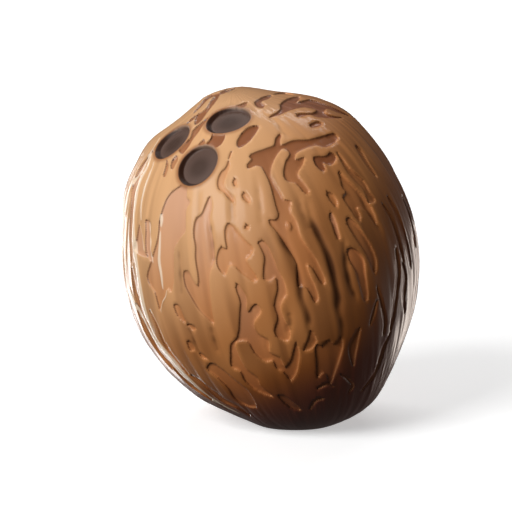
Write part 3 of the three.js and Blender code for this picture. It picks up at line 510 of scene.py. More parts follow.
# The fruit's axis and the two directions across it; the first across faces the front
LEAN = math.radians(AXIS_LEAN)
NOD = math.radians(AXIS_TILT)
AXIS = (
    -math.sin(LEAN) * math.cos(NOD) * RIGHT
    + math.cos(LEAN) * math.cos(NOD) * UP
    + math.sin(NOD) * TOWARDS
)
ACROSS_FRONT = unit_rows(TOWARDS - AXIS * TOWARDS.dot(AXIS))
ACROSS_SIDE = np.cross(AXIS, ACROSS_FRONT)

# The side where the skin's painted shade is lightest, the side from which the painted highlights and
# shade on the patch walls fall, and the side towards which the floors of the eyes widen and the
# eyes' rims carry a painted highlight
PAINTED_LIGHT_SIDE = unit_rows(-0.75 * RIGHT + 0.5 * UP)
LIT_SIDE = -0.75 * RIGHT + 0.66 * UP
WIDE_SIDE = unit_rows(RIGHT + 0.8 * UP)


def repeatable(seed):
    """A small random draw that gives the same numbers each run."""
    state = seed

    def draw():
        nonlocal state
        state = (state * DRAW_FACTOR) % DRAW_LIMIT
        return state / DRAW_LIMIT

    return draw


def drawn(draw, least, more):
    """A random value from the least one up, by at most so much more."""
    return least + more * draw()


def smooth_line(points, closed, steps_each):
    """A smooth line through the given points, with even corners whatever their spacing."""
    knots = [np.array(point, dtype=float) for point in points]
    count = len(knots)
    spans = count if closed else count - 1
    line = []
    for span in range(spans):
        p1 = knots[span]
        p2 = knots[(span + 1) % count]
        p0 = knots[span - 1] if closed or span > 0 else 2 * p1 - p2
        p3 = knots[(span + 2) % count] if closed or span + 2 < count else 2 * p2 - p1
        d0, d1, d2 = (math.sqrt(np.linalg.norm(b - a)) for a, b in ((p0, p1), (p1, p2), (p2, p3)))
        leave = ((p1 - p0) / d0 - (p2 - p0) / (d0 + d1) + (p2 - p1) / d1) * d1
        arrive = ((p2 - p1) / d1 - (p3 - p1) / (d1 + d2) + (p3 - p2) / d2) * d1
        for step in range(steps_each):
            t = step / steps_each
            square = (3 * (p2 - p1) - 2 * leave - arrive) * t * t
            cube = (2 * (p1 - p2) + leave + arrive) * t * t * t
            line.append(p1 + leave * t + square + cube)
    if not closed:
        line.append(knots[-1])
    return np.array(line)


def from_sheet(points):
    """Millimetres to the right of the nut's centre, and up from it, for points of the sheet."""
    return (points[:, 0] - SHEET_U) * UNIT, (SHEET_V - points[:, 1]) * UNIT


# The nut's radius in the plane of the sheet, looked up by angle. Away from the outline the form
# follows an evened-out copy of it, so that its corners stay near the edge of the view.
OUTLINE_STEPS = 720
EVENING_STEPS = 70
OUTLINE_REACH = 0.5
ANGLES = -math.pi + 2 * math.pi * np.arange(OUTLINE_STEPS) / OUTLINE_STEPS


def outline_radii():
    x, y = from_sheet(smooth_line(OUTLINE, True, OUTLINE_SPAN))
    angle = np.arctan2(y, x)
    order = np.argsort(angle)
    return np.interp(ANGLES, angle[order], np.hypot(x, y)[order], period=2 * math.pi)


def even_radii(radii):
    total = np.zeros(OUTLINE_STEPS)
    weights = 0
    for offset in range(-EVENING_STEPS, EVENING_STEPS + 1):
        weight = 1 + math.cos(math.pi * offset / EVENING_STEPS)
        total += weight * np.roll(radii, -offset)
        weights += weight
    return total / weights


SHARP_RADII = outline_radii()
EVEN_RADII = even_radii(SHARP_RADII)


def side_radius(x, y, t):
    """The radius across the sheet that applies at a height t towards the viewer."""
    angle = np.arctan2(y, x)
    even = np.interp(angle, ANGLES, EVEN_RADII, period=2 * math.pi)
    sharp = np.interp(angle, ANGLES, SHARP_RADII, period=2 * math.pi)
    return even + (sharp - even) * np.exp(-((t / OUTLINE_REACH) ** 2))


def turn_about_axis(directions):
    return np.arctan2(directions @ ACROSS_SIDE, directions @ ACROSS_FRONT)


def angle_down(directions):
    """The angle of each direction from the crown, down along the fruit's axis."""
    return np.arccos(np.clip(directions @ AXIS, -1, 1))


def form_radius(directions):
    """Radius of the plain rounded form, before the flat spot and the relief."""
    x = directions @ RIGHT
    y = directions @ UP
    t = directions @ TOWARDS
    side = side_radius(x, y, t)
    plain = 1 / np.sqrt((x * x + y * y) / (side * side) + 4 * t * t / (DEPTH * DEPTH))
    along = directions @ AXIS
    ridge = np.cos(RIDGES * (turn_about_axis(directions) - math.radians(RIDGE_TURN)))
    return plain + RIDGE_HEIGHT * ridge * (1 - along * along) * t * t


def floor_radius(directions):
    """How far each direction goes until it meets the floor; without end where it doesn't."""
    down = -directions[..., 2]
    return np.where(down > LEAST_DOWN, CENTRE[2] / np.maximum(down, LEAST_DOWN), np.inf)


def aim(sheet_points):
    """Directions from the centre to the front surface under points of the sheet."""
    goal_x, goal_y = from_sheet(np.asarray(sheet_points, dtype=float))
    x, y = goal_x.copy(), goal_y.copy()
    directions = np.tile(TOWARDS, (len(x), 1))
    for _ in range(AIM_ROUNDS):
        side = side_radius(x, y, directions @ TOWARDS)
        reach = np.maximum(np.hypot(x, y), TINY)
        share = np.minimum(EDGE_SHARE, reach / side)
        fit = share * side / reach
        t = DEPTH / 2 * np.sqrt(1 - share * share)
        place = np.outer(x * fit, RIGHT) + np.outer(y * fit, UP) + np.outer(t, TOWARDS)
        directions = unit_rows(place)
        surface = directions * form_radius(directions)[:, None]
        nearness = VIEW_DISTANCE / (VIEW_DISTANCE - surface @ TOWARDS)
        x += goal_x - surface @ RIGHT * nearness
        y += goal_y - surface @ UP * nearness
    return directions


def fruit_direction(down, turn):
    across = math.cos(turn) * ACROSS_FRONT + math.sin(turn) * ACROSS_SIDE
    return math.cos(down) * AXIS + math.sin(down) * across


class LocalMap:
    """A flat map round a direction: millimetres along the fruit's axis and across it."""

    def __init__(self, centre):
        self.centre = centre
        self.along = -unit_rows(AXIS - centre * AXIS.dot(centre))
        self.across = np.cross(self.along, centre)

    def to_map(self, directions):
        scale = self.stretch(directions) * MEAN_RADIUS
        return directions @ self.along * scale, directions @ self.across * scale

    def to_directions(self, s, w):
        reach = 2 * MEAN_RADIUS
        part = (s * s + w * w) / (reach * reach)
        place = (
            np.multiply.outer(1 - part, self.centre)
            + np.multiply.outer(2 * s / reach, self.along)
            + np.multiply.outer(2 * w / reach, self.across)
        )
        return unit_rows(place)

    def stretch(self, directions):
        return 2 / (1 + directions @ self.centre)


class Eye:
    """An oval eye. Distances in it are scaled so that its rim is at the eye radius."""

    def __init__(self, middle, half_length, half_width, turn):
        self.map = LocalMap(aim([middle])[0])
        self.half_length = half_length
        self.half_width = half_width
        self.cos = math.cos(math.radians(turn))
        self.sin = math.sin(math.radians(turn))

    def distance(self, directions):
        s, w = self.map.to_map(directions)
        length = (s * self.cos + w * self.sin) / self.half_length
        width = (w * self.cos - s * self.sin) / self.half_width
        near = directions @ self.map.centre > EYE_HOLDS
        return np.where(near, EYE_RADIUS * np.hypot(length, width), FAR_AWAY)

    def ring(self, radius, count):
        angle = 2 * math.pi * np.arange(count) / count
        length = radius / EYE_RADIUS * self.half_length * np.cos(angle)
        width = radius / EYE_RADIUS * self.half_width * np.sin(angle)
        s = length * self.cos - width * self.sin
        return self.map.to_directions(s, length * self.sin + width * self.cos)


class Shape:
    """A closed patch or an open line laid on the surface, kept in its own local map."""

    def __init__(self, directions, closed, **facts):
        self.directions = directions
        self.closed = closed
        self.map = LocalMap(unit_rows(directions.sum(axis=0)))
        self.line = np.stack(self.map.to_map(directions), axis=1)
        self.reach = np.hypot(*self.line.T).max()
        self.facts = facts

    def spans(self):
        start = self.line if self.closed else self.line[:-1]
        end = np.roll(self.line, -1, axis=0) if self.closed else self.line[1:]
        return start, end

    def near(self, directions, margin):
        """Numbers of the directions that lie within a margin of the shape."""
        angle = min(math.pi / 2, 2 * math.atan((self.reach + margin) / (2 * MEAN_RADIUS)))
        return np.flatnonzero(directions @ self.map.centre > math.cos(angle))

    def part_down(self, directions):
        """How far down the shape each direction is: 0 at its upper end, 1 at its lower end."""
        s, _ = self.map.to_map(directions)
        top = self.line[:, 0].min()
        return np.clip((s - top) / (self.line[:, 0].max() - top), 0, 1)

    def tone(self, directions):
        """The colour of the floor, from the shape's upper end to its lower end."""
        upper, lower = np.broadcast_to(self.facts["tone"], 2)
        return upper + (lower - upper) * self.part_down(directions)

    def distance(self, directions):
        """Millimetres from the line, positive inside a closed one, and the way to the line."""
        s, w = self.map.to_map(directions)
        start, end = self.spans()
        step = end - start
        gap_s = s[:, None] - start[None, :, 0]
        gap_w = w[:, None] - start[None, :, 1]
        length = (step * step).sum(axis=1) + TINY
        part = np.clip((gap_s * step[:, 0] + gap_w * step[:, 1]) / length, 0, 1)
        off_s = gap_s - step[:, 0] * part
        off_w = gap_w - step[:, 1] * part
        span = np.hypot(off_s, off_w)
        nearest = span.argmin(axis=1)
        rows = np.arange(len(s))
        distance = span[rows, nearest]
        away = np.stack([off_s[rows, nearest], off_w[rows, nearest]], axis=1)
        away /= np.maximum(distance, SMALL)[:, None]
        if self.closed:
            crossing = (start[:, 1] > w[:, None]) != (end[:, 1] > w[:, None])
            slope = step[:, 0] / np.where(step[:, 1] == 0, TINY, step[:, 1])
            left_of = s[:, None] < start[:, 0] + (w[:, None] - start[:, 1]) * slope
            inside = (crossing & left_of).sum(axis=1) % 2 == 1
            distance = np.where(inside, distance, -distance)
        return distance / self.map.stretch(directions), away


def streak_outline(line, width):
    """The two edges of a tapered streak, as one closed outline on the sheet."""
    middle = smooth_line(line, False, LINE_SPAN)
    last = len(middle) - 1
    place = np.arange(last + 1)
    ahead = middle[np.minimum(place + 1, last)]
    behind = middle[np.maximum(place - 1, 0)]
    way = unit_rows(ahead - behind)
    half = width / 2 * np.sqrt(np.sin(math.pi * (place + STREAK_END) / (last + 2 * STREAK_END)))
    side = np.stack([-way[:, 1], way[:, 0]], axis=1) * half[:, None]
    return np.concatenate([middle + side, (middle - side)[::-1]])


def front_patches():
    outlines = {name: smooth_line(points, True, PATCH_SPAN) for name, points in PATCHES.items()}
    outlines |= {name: streak_outline(line, width) for name, (width, line) in STREAKS.items()}
    return [
        Shape(aim(outline), True, tone=PATCH_TONES.get(name, PLAIN_TONE))
        for name, outline in outlines.items()
    ]


def front_threads():
    return [Shape(aim(streak_outline(line, width)), True) for width, line in THREADS.values()]


def wavy_blob(centre, length, width, draw):
    """A long wavy blob drawn along the fruit's axis, as directions."""
    sway = width * drawn(draw, *BLOB_SWAY)
    phase = 2 * math.pi * draw()
    left, right = [], []
    for station in range(BLOB_STATIONS + 1):
        part = station / BLOB_STATIONS
        along = (part - 0.5) * length
        middle = sway * math.sin(phase + part * BLOB_WAVES)
        swell = math.sqrt(math.sin(math.pi * (BLOB_ENDS[0] + BLOB_ENDS[1] * part)))
        left.append((along, middle - width * swell * drawn(draw, *BLOB_SWELL)))
        right.append((along, middle + width * swell * drawn(draw, *BLOB_SWELL)))
    outline = smooth_line(left + right[::-1], True, PATCH_SPAN)
    return LocalMap(centre).to_directions(*outline.T)


def foot_clearance(directions):
    """How far a direction meets the surface from the edge of the flat spot."""
    angle = np.arccos(np.clip(directions @ unit_rows(-CENTRE), -1, 1))
    return angle * CENTRE[2] - FOOT_RADIUS


def hidden_patches(taken):
    """Patches spread evenly over what the sheet doesn't show, from long ones to short ones."""
    draw = repeatable(HIDDEN_SEED)
    least_length, most_length = HIDDEN_LENGTH
    least_width, most_width = HIDDEN_WIDTH
    found = []
    occupied = taken
    for number in range(1, HIDDEN_TRIES):
        if len(found) == HIDDEN_PATCHES:
            break
        down = math.acos(1 - 2 * (number * SPREAD_DOWN % 1))
        turn = 2 * math.pi * (number * SPREAD_TURN % 1)
        size = (1 - len(found) / HIDDEN_PATCHES) ** HIDDEN_SHRINK
        length = least_length + (most_length - least_length) * size
        wider = (most_width - least_width) * size * drawn(draw, *BLOB_WIDTH)
        centre = fruit_direction(min(max(down, HIDDEN_DOWN[0]), HIDDEN_DOWN[1]), turn)
        blob = wavy_blob(centre, length, least_width + wider, draw)
        hidden = (blob @ TOWARDS < HIDDEN_LIMIT).all()
        off_foot = (foot_clearance(blob) > HIDDEN_FOOT_GAP).all()
        sparse = blob[::2]
        gap = math.acos(min(1.0, (sparse @ occupied.T).max())) * MEAN_RADIUS
        if hidden and off_foot and gap > HIDDEN_GAP:
            tone = np.interp(centre @ AXIS, CROWN_HEIGHTS, (PLAIN_TONE, CROWN_TONE))
            found.append(Shape(blob, True, tone=tone))
            occupied = np.concatenate([occupied, sparse])
    return found


def furrow_shape(directions, reach, share):
    return Shape(directions, False, half=reach, depth=share * FURROW_DEPTH)


def front_furrows():
    return [
        furrow_shape(aim(smooth_line(line, False, LINE_SPAN)), reach, share)
        for reach, share, line in FURROWS.values()
    ]


def hidden_furrows():
    draw = repeatable(HIDDEN_SEED + 1)
    found = []
    while len(found) < HIDDEN_FURROWS:
        down = drawn(draw, *LINE_DOWN)
        turn = 2 * math.pi * draw()
        length = drawn(draw, *LINE_LENGTH)
        bend = LINE_BEND * (draw() - 0.5)
        share = drawn(draw, *LINE_SHARE)
        line = np.array([
            fruit_direction(down + (part - 0.5) * length, turn + bend * math.sin(LINE_WAVES * part))
            for part in LINE_PARTS
        ])
        if (line @ TOWARDS < HIDDEN_LIMIT).all():
            found.append(furrow_shape(line, LINE_REACH, share))
    return found


PATCH_SHAPES = front_patches()
PATCH_SHAPES += hidden_patches(np.concatenate([shape.directions[::2] for shape in PATCH_SHAPES]))
FURROW_SHAPES = front_furrows() + hidden_furrows()
THREAD_SHAPES = front_threads()
EYE_SHAPES = [Eye(**facts) for facts in EYES.values()]
BLISTER_MAP = LocalMap(aim([BLISTER["centre"]])[0])


def met(shapes, directions, margin):
    """Each shape with the directions near it: their numbers, distances and ways to its line."""
    for shape in shapes:
        near = shape.near(directions, margin)
        distance, away = shape.distance(directions[near])
        yield shape, near, distance, away


def patch_field(directions):
    """For each direction: distance into the deepest patch, its tone, and how lit its wall is."""
    deepest = np.full(len(directions), NO_PATCH)
    tone = np.zeros(len(directions))
    lit = np.zeros(len(directions))
    for shape, near, distance, away in met(PATCH_SHAPES, directions, PATCH_REACH):
        better = distance > deepest[near]
        rows = near[better]
        deepest[rows] = distance[better]
        tone[rows] = shape.tone(directions[rows])
        inward = away[better] * np.sign(distance[better])[:, None]
        slope = np.outer(inward[:, 0], shape.map.along) + np.outer(inward[:, 1], shape.map.across)
        lit[rows] = slope @ LIT_SIDE
    return deepest, tone, lit


def furrow_strengths(part):
    """How deep and how dark a furrow is along its length: less at its ends, and unevenly dark."""
    ends = smooth(part / FURROW_FADE[0]) * smooth((1 - part) / FURROW_FADE[1])
    wave = 0.5 - 0.5 * np.cos(2 * math.pi * part / FURROW_WAVE)
    darkness = ends * (FURROW_LEAST + (1 - FURROW_LEAST) * wave)
    return FURROW_END + (1 - FURROW_END) * ends, darkness


def furrow_field(directions):
    """The depth of the furrows, their dark colour, and the soft shade that spreads beside them."""
    depth = np.zeros(len(directions))
    dark = np.zeros(len(directions))
    shade = np.zeros(len(directions))
    for shape, near, distance, _ in met(FURROW_SHAPES, directions, FURROW_REACH):
        reach = distance / shape.facts["half"]
        deepness, darkness = furrow_strengths(shape.part_down(directions[near]))
        furrow = shape.facts["depth"] * np.exp(-(reach ** 2))
        depth[near] += furrow * deepness
        dark[near] += furrow / FURROW_DEPTH * darkness
        share = max(0, shape.facts["depth"] / FURROW_DEPTH - SHADE_LEAST)
        shade[near] += share * darkness * np.exp(-((reach / SHADE_SPREAD) ** 2))
    return depth, np.clip(dark, 0, FURROW_DARKEST), np.clip(shade, 0, 1)


def thread_field(directions):
    """The cover of the raised threads that carry a painted highlight, 0 to 1."""
    cover = np.zeros(len(directions))
    for _, near, distance, _ in met(THREAD_SHAPES, directions, THREAD_REACH):
        cover[near] = np.maximum(cover[near], smooth(0.5 + distance / THREAD_EDGE))
    return cover


def eye_field(directions):
    """Scaled millimetres from the middle of the nearest eye, its floor's radius and its wide side."""
    nearest = np.full(len(directions), FAR_AWAY)
    slant = np.zeros(len(directions))
    for eye in EYE_SHAPES:
        distance = eye.distance(directions)
        better = distance < nearest
        nearest[better] = distance[better]
        offset = directions[better] - eye.map.centre
        slant[better] = offset @ WIDE_SIDE / np.maximum(np.linalg.norm(offset, axis=1), SMALL)
    return nearest, EYE_FLOOR_RADIUS + EYE_SLANT * slant, slant


def eye_relief(distance, floor):
    wall = (distance - floor) / (EYE_RADIUS - floor)
    bowl = -EYE_DEPTH * (1 - smooth(wall))
    lip = LIP_HEIGHT * np.exp(-(((distance - EYE_RADIUS - LIP_AWAY) / LIP_WIDTH) ** 2))
    return bowl + lip


def streaky(directions, columns, rows, seed):
    """Smooth random values, 0 to 1, that change quickly round the nut and slowly along it."""
    draw = repeatable(seed)
    grid = np.array([[draw() for _ in range(columns)] for _ in range(rows + 1)])
    across = (turn_about_axis(directions) / (2 * math.pi) % 1) * columns
    along = angle_down(directions) / math.pi * rows
    column = np.floor(across).astype(int) % columns
    row = np.minimum(np.floor(along).astype(int), rows - 1)
    side = smooth(across - np.floor(across))
    down = smooth(along - row)
    following = (column + 1) % columns
    left = grid[row, column] * (1 - down) + grid[row + 1, column] * down
    right = grid[row, following] * (1 - down) + grid[row + 1, following] * down
    return left * (1 - side) + right * side


def flute_fields(directions):
    """Broad soft flutes and strands along the nut, 0 to 1, and the share of the strands that shows."""
    girth = np.sqrt(1 - (directions @ AXIS) ** 2)
    broad = streaky(directions, BROAD_FLUTES, BROAD_ROWS, FLUTE_SEED) * girth
    uneven = streaky(directions, STRANDS, STRAND_ROWS, FLUTE_SEED + 1)
    strand = smooth(0.5 + (uneven - 0.5) / STRAND_EDGE) * girth
    side = smooth((SIDE_BEGINS - directions @ TOWARDS) / SIDE_BLEND)
    return broad, strand, side


def blister_relief(directions):
    s, w = BLISTER_MAP.to_map(directions)
    spread = (s / BLISTER["half_length"]) ** 2 + (w / BLISTER["half_width"]) ** 2
    near = directions @ BLISTER_MAP.centre > BLISTER_HOLDS
    return np.where(near, BLISTER["height"] * np.exp(-(spread ** 2)), 0)


def painted_shading(directions):
    """Painted shade of the skin: low at the upper left and in front, high at the right and below."""
    side = PAINTED_SHADE_MIDDLE - PAINTED_SHADE_SIDES * directions @ PAINTED_LIGHT_SIDE
    low = smooth((-directions @ UP - BELOW_BEGINS) / BELOW_BLEND)
    return side - PAINTED_LIGHT_FRONT * np.abs(directions @ TOWARDS) + PAINTED_SHADE_BELOW * low


def surface_fields(directions):
    """The radius along each direction, and the fields that colour the surface."""
    deepest, tone, lit = patch_field(directions)
    furrow, furrow_dark, shade = furrow_field(directions)
    eye, eye_floor, eye_slant = eye_field(directions)
    sunk = smooth(0.5 + deepest / PATCH_WALL)
    outside_eye = smooth((eye - EYE_RADIUS) / EYE_BLEND)
    thread = thread_field(directions) * outside_eye
    surface = -(PATCH_DEPTH * sunk + furrow) * outside_eye + blister_relief(directions)
    surface += THREAD_HEIGHT * thread
    relief = surface + np.where(eye < EYE_RADIUS + EYE_REACH, eye_relief(eye, eye_floor), 0)
    foot = smooth(foot_clearance(directions) / FOOT_BLEND)
    relief *= foot
    broad, strand, side = flute_fields(directions)
    relief -= (BROAD_DEPTH * broad + STRAND_DEPTH * strand * side) * outside_eye * foot
    radius = np.minimum(form_radius(directions) + relief, floor_radius(directions))
    # Masks for the painted highlight and painted shade along the patch walls, by how each wall faces
    # the light side
    wall = np.exp(-((deepest / WALL_LINE) ** 2)) * outside_eye
    fields = {
        "sunk": sunk * outside_eye,
        "tone": tone,
        "lit_wall": wall * smooth(0.5 + lit),
        "shaded_wall": wall * smooth(0.5 - lit),
        "furrow": furrow_dark * outside_eye,
        "eye": eye,
        "eye_wall": eye - eye_floor,
        "eye_slant": eye_slant,
        "painted_shade": painted_shading(directions),
        "shade": shade,
        "thread": thread,
        "flute": broad,
        "strand": strand * side,
        "side": side,
    }
    return radius, fields


def evenly(ring, step, start):
    """Points round a ring, evenly spaced from a share of a step, each with its sideways direction."""
    ends = np.concatenate([ring, ring[:1]])
    steps = np.diff(ends, axis=0)
    lengths = np.hypot(*steps.T)
    places = np.concatenate([[0], np.cumsum(lengths)])
    count = max(LEAST_POINTS, round(places[-1] / step))
    at = places[-1] * (np.arange(count) + start) / count
    span = np.clip(np.searchsorted(places, at, side="right") - 1, 0, len(steps) - 1)
    part = (at - places[span]) / lengths[span]
    way = steps[span] / lengths[span][:, None]
    return ends[span] + steps[span] * part[:, None], np.stack([way[:, 1], -way[:, 0]], axis=1)


def edge_row(shape, offset, start):
    """Directions beside a shape's edge, out by an offset, from a share of a step."""
    at, side = evenly(shape.line, EDGE_STEP, start)
    return shape.map.to_directions(*(at + side * offset).T)


def edge_rows():
    """Rows up and down the walls of every thread and patch, in turn half a step apart."""
    outer = 0.5 * PATCH_WALL + WALL_MARGIN
    beside_thread = ((THREAD_ROW, 0.0), (-THREAD_ROW, 0.5))
    beside_patch = ((outer, 0.0), (-outer, 0.0), (WALL_ROW, 0.5), (-WALL_ROW, 0.5))
    rows = [edge_row(shape, *row) for shape in THREAD_SHAPES for row in beside_thread]
    rows += [edge_row(shape, *row) for row in beside_patch for shape in PATCH_SHAPES]
    return np.concatenate(rows)


def eye_rings():
    rings = [eye.ring(0, 1) for eye in EYE_SHAPES]
    for eye in EYE_SHAPES:
        for radius in EYE_RINGS:
            rings.append(eye.ring(radius, round(2 * math.pi * radius / EYE_STEP)))
    return np.concatenate(rings)


def blister_rings():
    rings = []
    for reach in BLISTER_RINGS:
        count = round(BLISTER_SPOKES * reach) + 1
        angle = 2 * math.pi * np.arange(count) / count
        s = reach * BLISTER["half_length"] * np.cos(angle)
        w = reach * BLISTER["half_width"] * np.sin(angle)
        rings.append(BLISTER_MAP.to_directions(s, w))
    return np.concatenate(rings)


def foot_rings():
    """The edge of the flat spot, found where the plain form meets the floor, and rings beside it."""
    angle = 2 * math.pi * np.arange(FOOT_SPOKES) / FOOT_SPOKES
    around = np.stack([np.cos(angle), np.sin(angle), np.zeros(FOOT_SPOKES)], axis=1)

    def at(radius):
        return unit_rows(around * radius[:, None] - CENTRE)

    low = np.full(FOOT_SPOKES, 1.0)
    high = np.full(FOOT_SPOKES, 3.0 * FOOT_RADIUS)
    for _ in range(FOOT_ROUNDS):
        middle = (low + high) / 2
        inside = floor_radius(at(middle)) < form_radius(at(middle))
        low = np.where(inside, middle, low)
        high = np.where(inside, high, middle)
    return np.concatenate([at(low), at(low + FOOT_ROW), *(at(low * share) for share in FOOT_RINGS)])


def fill_points():
    """Rings round the fruit's axis whose points stand in columns that run along the nut."""
    rings = round(math.pi * MEAN_RADIUS / FILL_STEP)
    rows = []
    for ring in range(rings):
        down = math.pi * (ring + 0.5) / rings
        girth = 2 * math.pi * MEAN_RADIUS * math.sin(down)
        count = FILL_COLUMNS
        while girth < count * COLUMN_GAP and count > LEAST_COLUMNS:
            count //= 2
        turn = 2 * math.pi * np.arange(count) / count
        across = np.outer(np.cos(turn), ACROSS_FRONT) + np.outer(np.sin(turn), ACROSS_SIDE)
        rows.append(math.cos(down) * AXIS + math.sin(down) * across)
    directions = np.concatenate(rows)
    return directions[floor_radius(directions) > form_radius(directions)]


def search_tree(directions):
    tree = kdtree.KDTree(len(directions))
    for number, direction in enumerate(directions):
        tree.insert(direction, number)
    tree.balance()
    return tree


def thin_out(directions, gap):
    """Drops each direction that comes closer than the gap to an earlier one."""
    tree = search_tree(directions)
    kept = np.ones(len(directions), dtype=bool)
    for number, direction in enumerate(directions):
        if kept[number]:
            for _, other, _ in tree.find_range(direction, gap / MEAN_RADIUS):
                if other > number:
                    kept[other] = False
    return directions[kept]


def clear_of(directions, taken, gap):
    """The directions that are farther than the gap from every one that is taken."""
    tree = search_tree(taken)
    kept = [tree.find(direction)[2] > gap / MEAN_RADIUS for direction in directions]
    return directions[np.array(kept)]


def mesh_directions():
    """All vertex directions; the first is the middle of the flat spot."""
    middle = [unit_rows(-CENTRE)]
    rows = np.concatenate([middle, foot_rings(), eye_rings(), blister_rings(), edge_rows()])
    edges = thin_out(rows, LEAST_GAP)
    return np.concatenate([edges, clear_of(fill_points(), edges, FILL_CLEARANCE)])


# The flat net is kept whole, and points nearer to each other than this count as one
WHOLE_NET = 0
SAME_PLACE = 1e-9


def laid_flat(directions, pole):
    """Places on a flat sheet for directions, seen from a pole that is out of its reach."""
    side = unit_rows(np.cross(pole, [0.0, 1.0, 0.0]))
    other = np.cross(pole, side)
    scale = 1 / (1 - directions @ pole)
    return [Vector(pair) for pair in zip(directions @ side * scale, directions @ other * scale)]


def joined_neighbours(directions):
    """Triangles that join each direction to its neighbours all round.

    The directions are laid flat from the first one, joined there, and the outer edge of the
    flat net is then closed with the first.
    """
    flat = laid_flat(directions[1:], directions[0])
    _, _, faces, sources, _, _ = delaunay_2d_cdt(flat, [], [], WHOLE_NET, SAME_PLACE, True)
    number = np.array([source[0] + 1 for source in sources])
    triangles = number[np.array(faces)]
    edges = np.concatenate([triangles[:, [0, 1]], triangles[:, [1, 2]], triangles[:, [2, 0]]])
    count = len(directions)
    forward = edges[:, 0].astype(np.int64) * count + edges[:, 1]
    backward = edges[:, 1].astype(np.int64) * count + edges[:, 0]
    rim = edges[~np.isin(forward, backward)]
    closing = np.stack([rim[:, 1], rim[:, 0], np.zeros(len(rim), dtype=int)], axis=1)
    triangles = np.concatenate([triangles, closing])
    corner = directions[triangles]
    normal = np.cross(corner[:, 1] - corner[:, 0], corner[:, 2] - corner[:, 0])
    inward = (normal * corner.sum(axis=1)).sum(axis=1) < 0
    triangles[inward] = triangles[inward][:, ::-1]
    return triangles


def grain_place(directions):
    """A place that runs round the nut fast and along it slowly, so that grain follows its length."""
    turn = turn_about_axis(directions)
    return np.stack([np.cos(turn), np.sin(turn), angle_down(directions)], axis=1)


def smooth_piece(name, places, faces):
    """A smoothly shaded mesh, put into the scene."""
    mesh = bpy.data.meshes.new(name)
    mesh.from_pydata(places, [], faces)
    mesh.polygons.foreach_set("use_smooth", np.ones(len(mesh.polygons), dtype=bool))
    piece = bpy.data.objects.new(name, mesh)
    bpy.context.scene.collection.objects.link(piece)
    return piece


def build_nut():
    directions = mesh_directions()
    radius, fields = surface_fields(directions)
    places = (directions * radius[:, None] + CENTRE) * MM
    nut = smooth_piece("nut_shell", places.tolist(), joined_neighbours(directions).tolist())
    for name, values in fields.items():
        layer = nut.data.attributes.new(name, "FLOAT", "POINT")
        layer.data.foreach_set("value", values.astype(np.float32))
    grain = nut.data.attributes.new("grain", "FLOAT_VECTOR", "POINT")
    grain.data.foreach_set("vector", grain_place(directions).astype(np.float32).ravel())
    nut.data.update()
    return nut


# Looks

# The mix node's sockets for its two colours and its result
MIX_FIRST = 6
MIX_SECOND = 7
MIX_RESULT = 2


class Shader:
    """Adds nodes to a material. A value is a number, a colour, a socket or the name of a field."""

    def __init__(self, name):
        self.material = bpy.data.materials.new(name)
        self.material.use_nodes = True
        self.tree = self.material.node_tree
        self.surface = next(node for node in self.tree.nodes if node.type == "BSDF_PRINCIPLED")

    def node(self, kind, **settings):
        node = self.tree.nodes.new("ShaderNode" + kind)
        for name, value in settings.items():
            setattr(node, name, value)
        return node

    def field(self, name, output="Fac"):
        return self.node("Attribute", attribute_name=name).outputs[output]

    def link(self, value, socket):
        """Gives a socket a value, by a link where it comes from a field or another node."""
        if isinstance(value, str):
            value = self.field(value)
        if isinstance(value, bpy.types.NodeSocket):
            self.tree.links.new(value, socket)
        else:
            socket.default_value = value

    def maths(self, kind, first, second=0.0):
        node = self.node("Math", operation=kind)
        self.link(first, node.inputs[0])
        self.link(second, node.inputs[1])
        return node.outputs[0]

    def span(self, value, low, high, start=0.0, end=1.0):
        """Eases from start to end as the value goes from low to high."""
        node = self.node("MapRange", interpolation_type="SMOOTHSTEP")
        for number, item in enumerate((value, low, high, start, end)):
            self.link(item, node.inputs[number])
        return node.outputs[0]

    def ramp(self, name):
        """How far the named look has set in."""
        return self.span(*RAMPS[name])

    def finish(self, values):
        """Sets the surface's sockets by their names and gives the material."""
        for name, value in values.items():
            self.link(value, self.surface.inputs[name])
        return self.material

    def mix(self, share, first, second, kind="MIX"):
        node = self.node("Mix", data_type="RGBA", blend_type=kind)
        self.link(share, node.inputs[0])
        self.link(first, node.inputs[MIX_FIRST])
        self.link(second, node.inputs[MIX_SECOND])
        return node.outputs[MIX_RESULT]


def colour(red, green, blue):
    """A colour given as on screen, 0 to 255, for a node's socket."""
    parts = []
    for value in (red, green, blue):
        share = value / 255
        parts.append(share / 12.92 if share <= 0.04045 else ((share + 0.055) / 1.055) ** 2.4)
    return (*parts, 1.0)


# Colours of the shell
# The skin at four steps of its painted shade, from lit tan to shaded dark brown
LIGHT_SKIN = colour(222, 171, 122)
MIDDLE_SKIN = colour(190, 124, 70)
DARK_SKIN = colour(154, 88, 38)
DARKEST_SKIN = colour(118, 61, 43)
# A colour of painted shade for the flutes' troughs and beside the furrows, also darkening the strands'
# streaks
SHADE_AND_STREAK_SKIN = colour(106, 60, 28)
PALE_FLOOR = colour(216, 168, 140)
RED_FLOOR = colour(196, 118, 68)
ORANGE_FLOOR = colour(214, 130, 76)
DARK_FLOOR = colour(132, 74, 42)
# Painted shade and painted highlights along the patch walls, the highlight paler on the lit side
SHADED_LINE = colour(96, 60, 42)
LIT_LINE = colour(232, 168, 112)
PALE_HIGHLIGHT = colour(255, 240, 222)
# A painted highlight on the raised threads
THREAD_HIGHLIGHT = colour(250, 228, 200)
FURROW_SKIN = colour(70, 38, 18)
EYE_FLOOR = colour(94, 73, 64)
EYE_MIDDLE = colour(70, 51, 42)
# A painted highlight on the upper right of the eyes' rims, and painted shade on their walls
EYE_RIM_HIGHLIGHT = colour(158, 134, 116)
EYE_WALL_SHADE = colour(52, 28, 16)
EYE_HALO = colour(150, 92, 52)

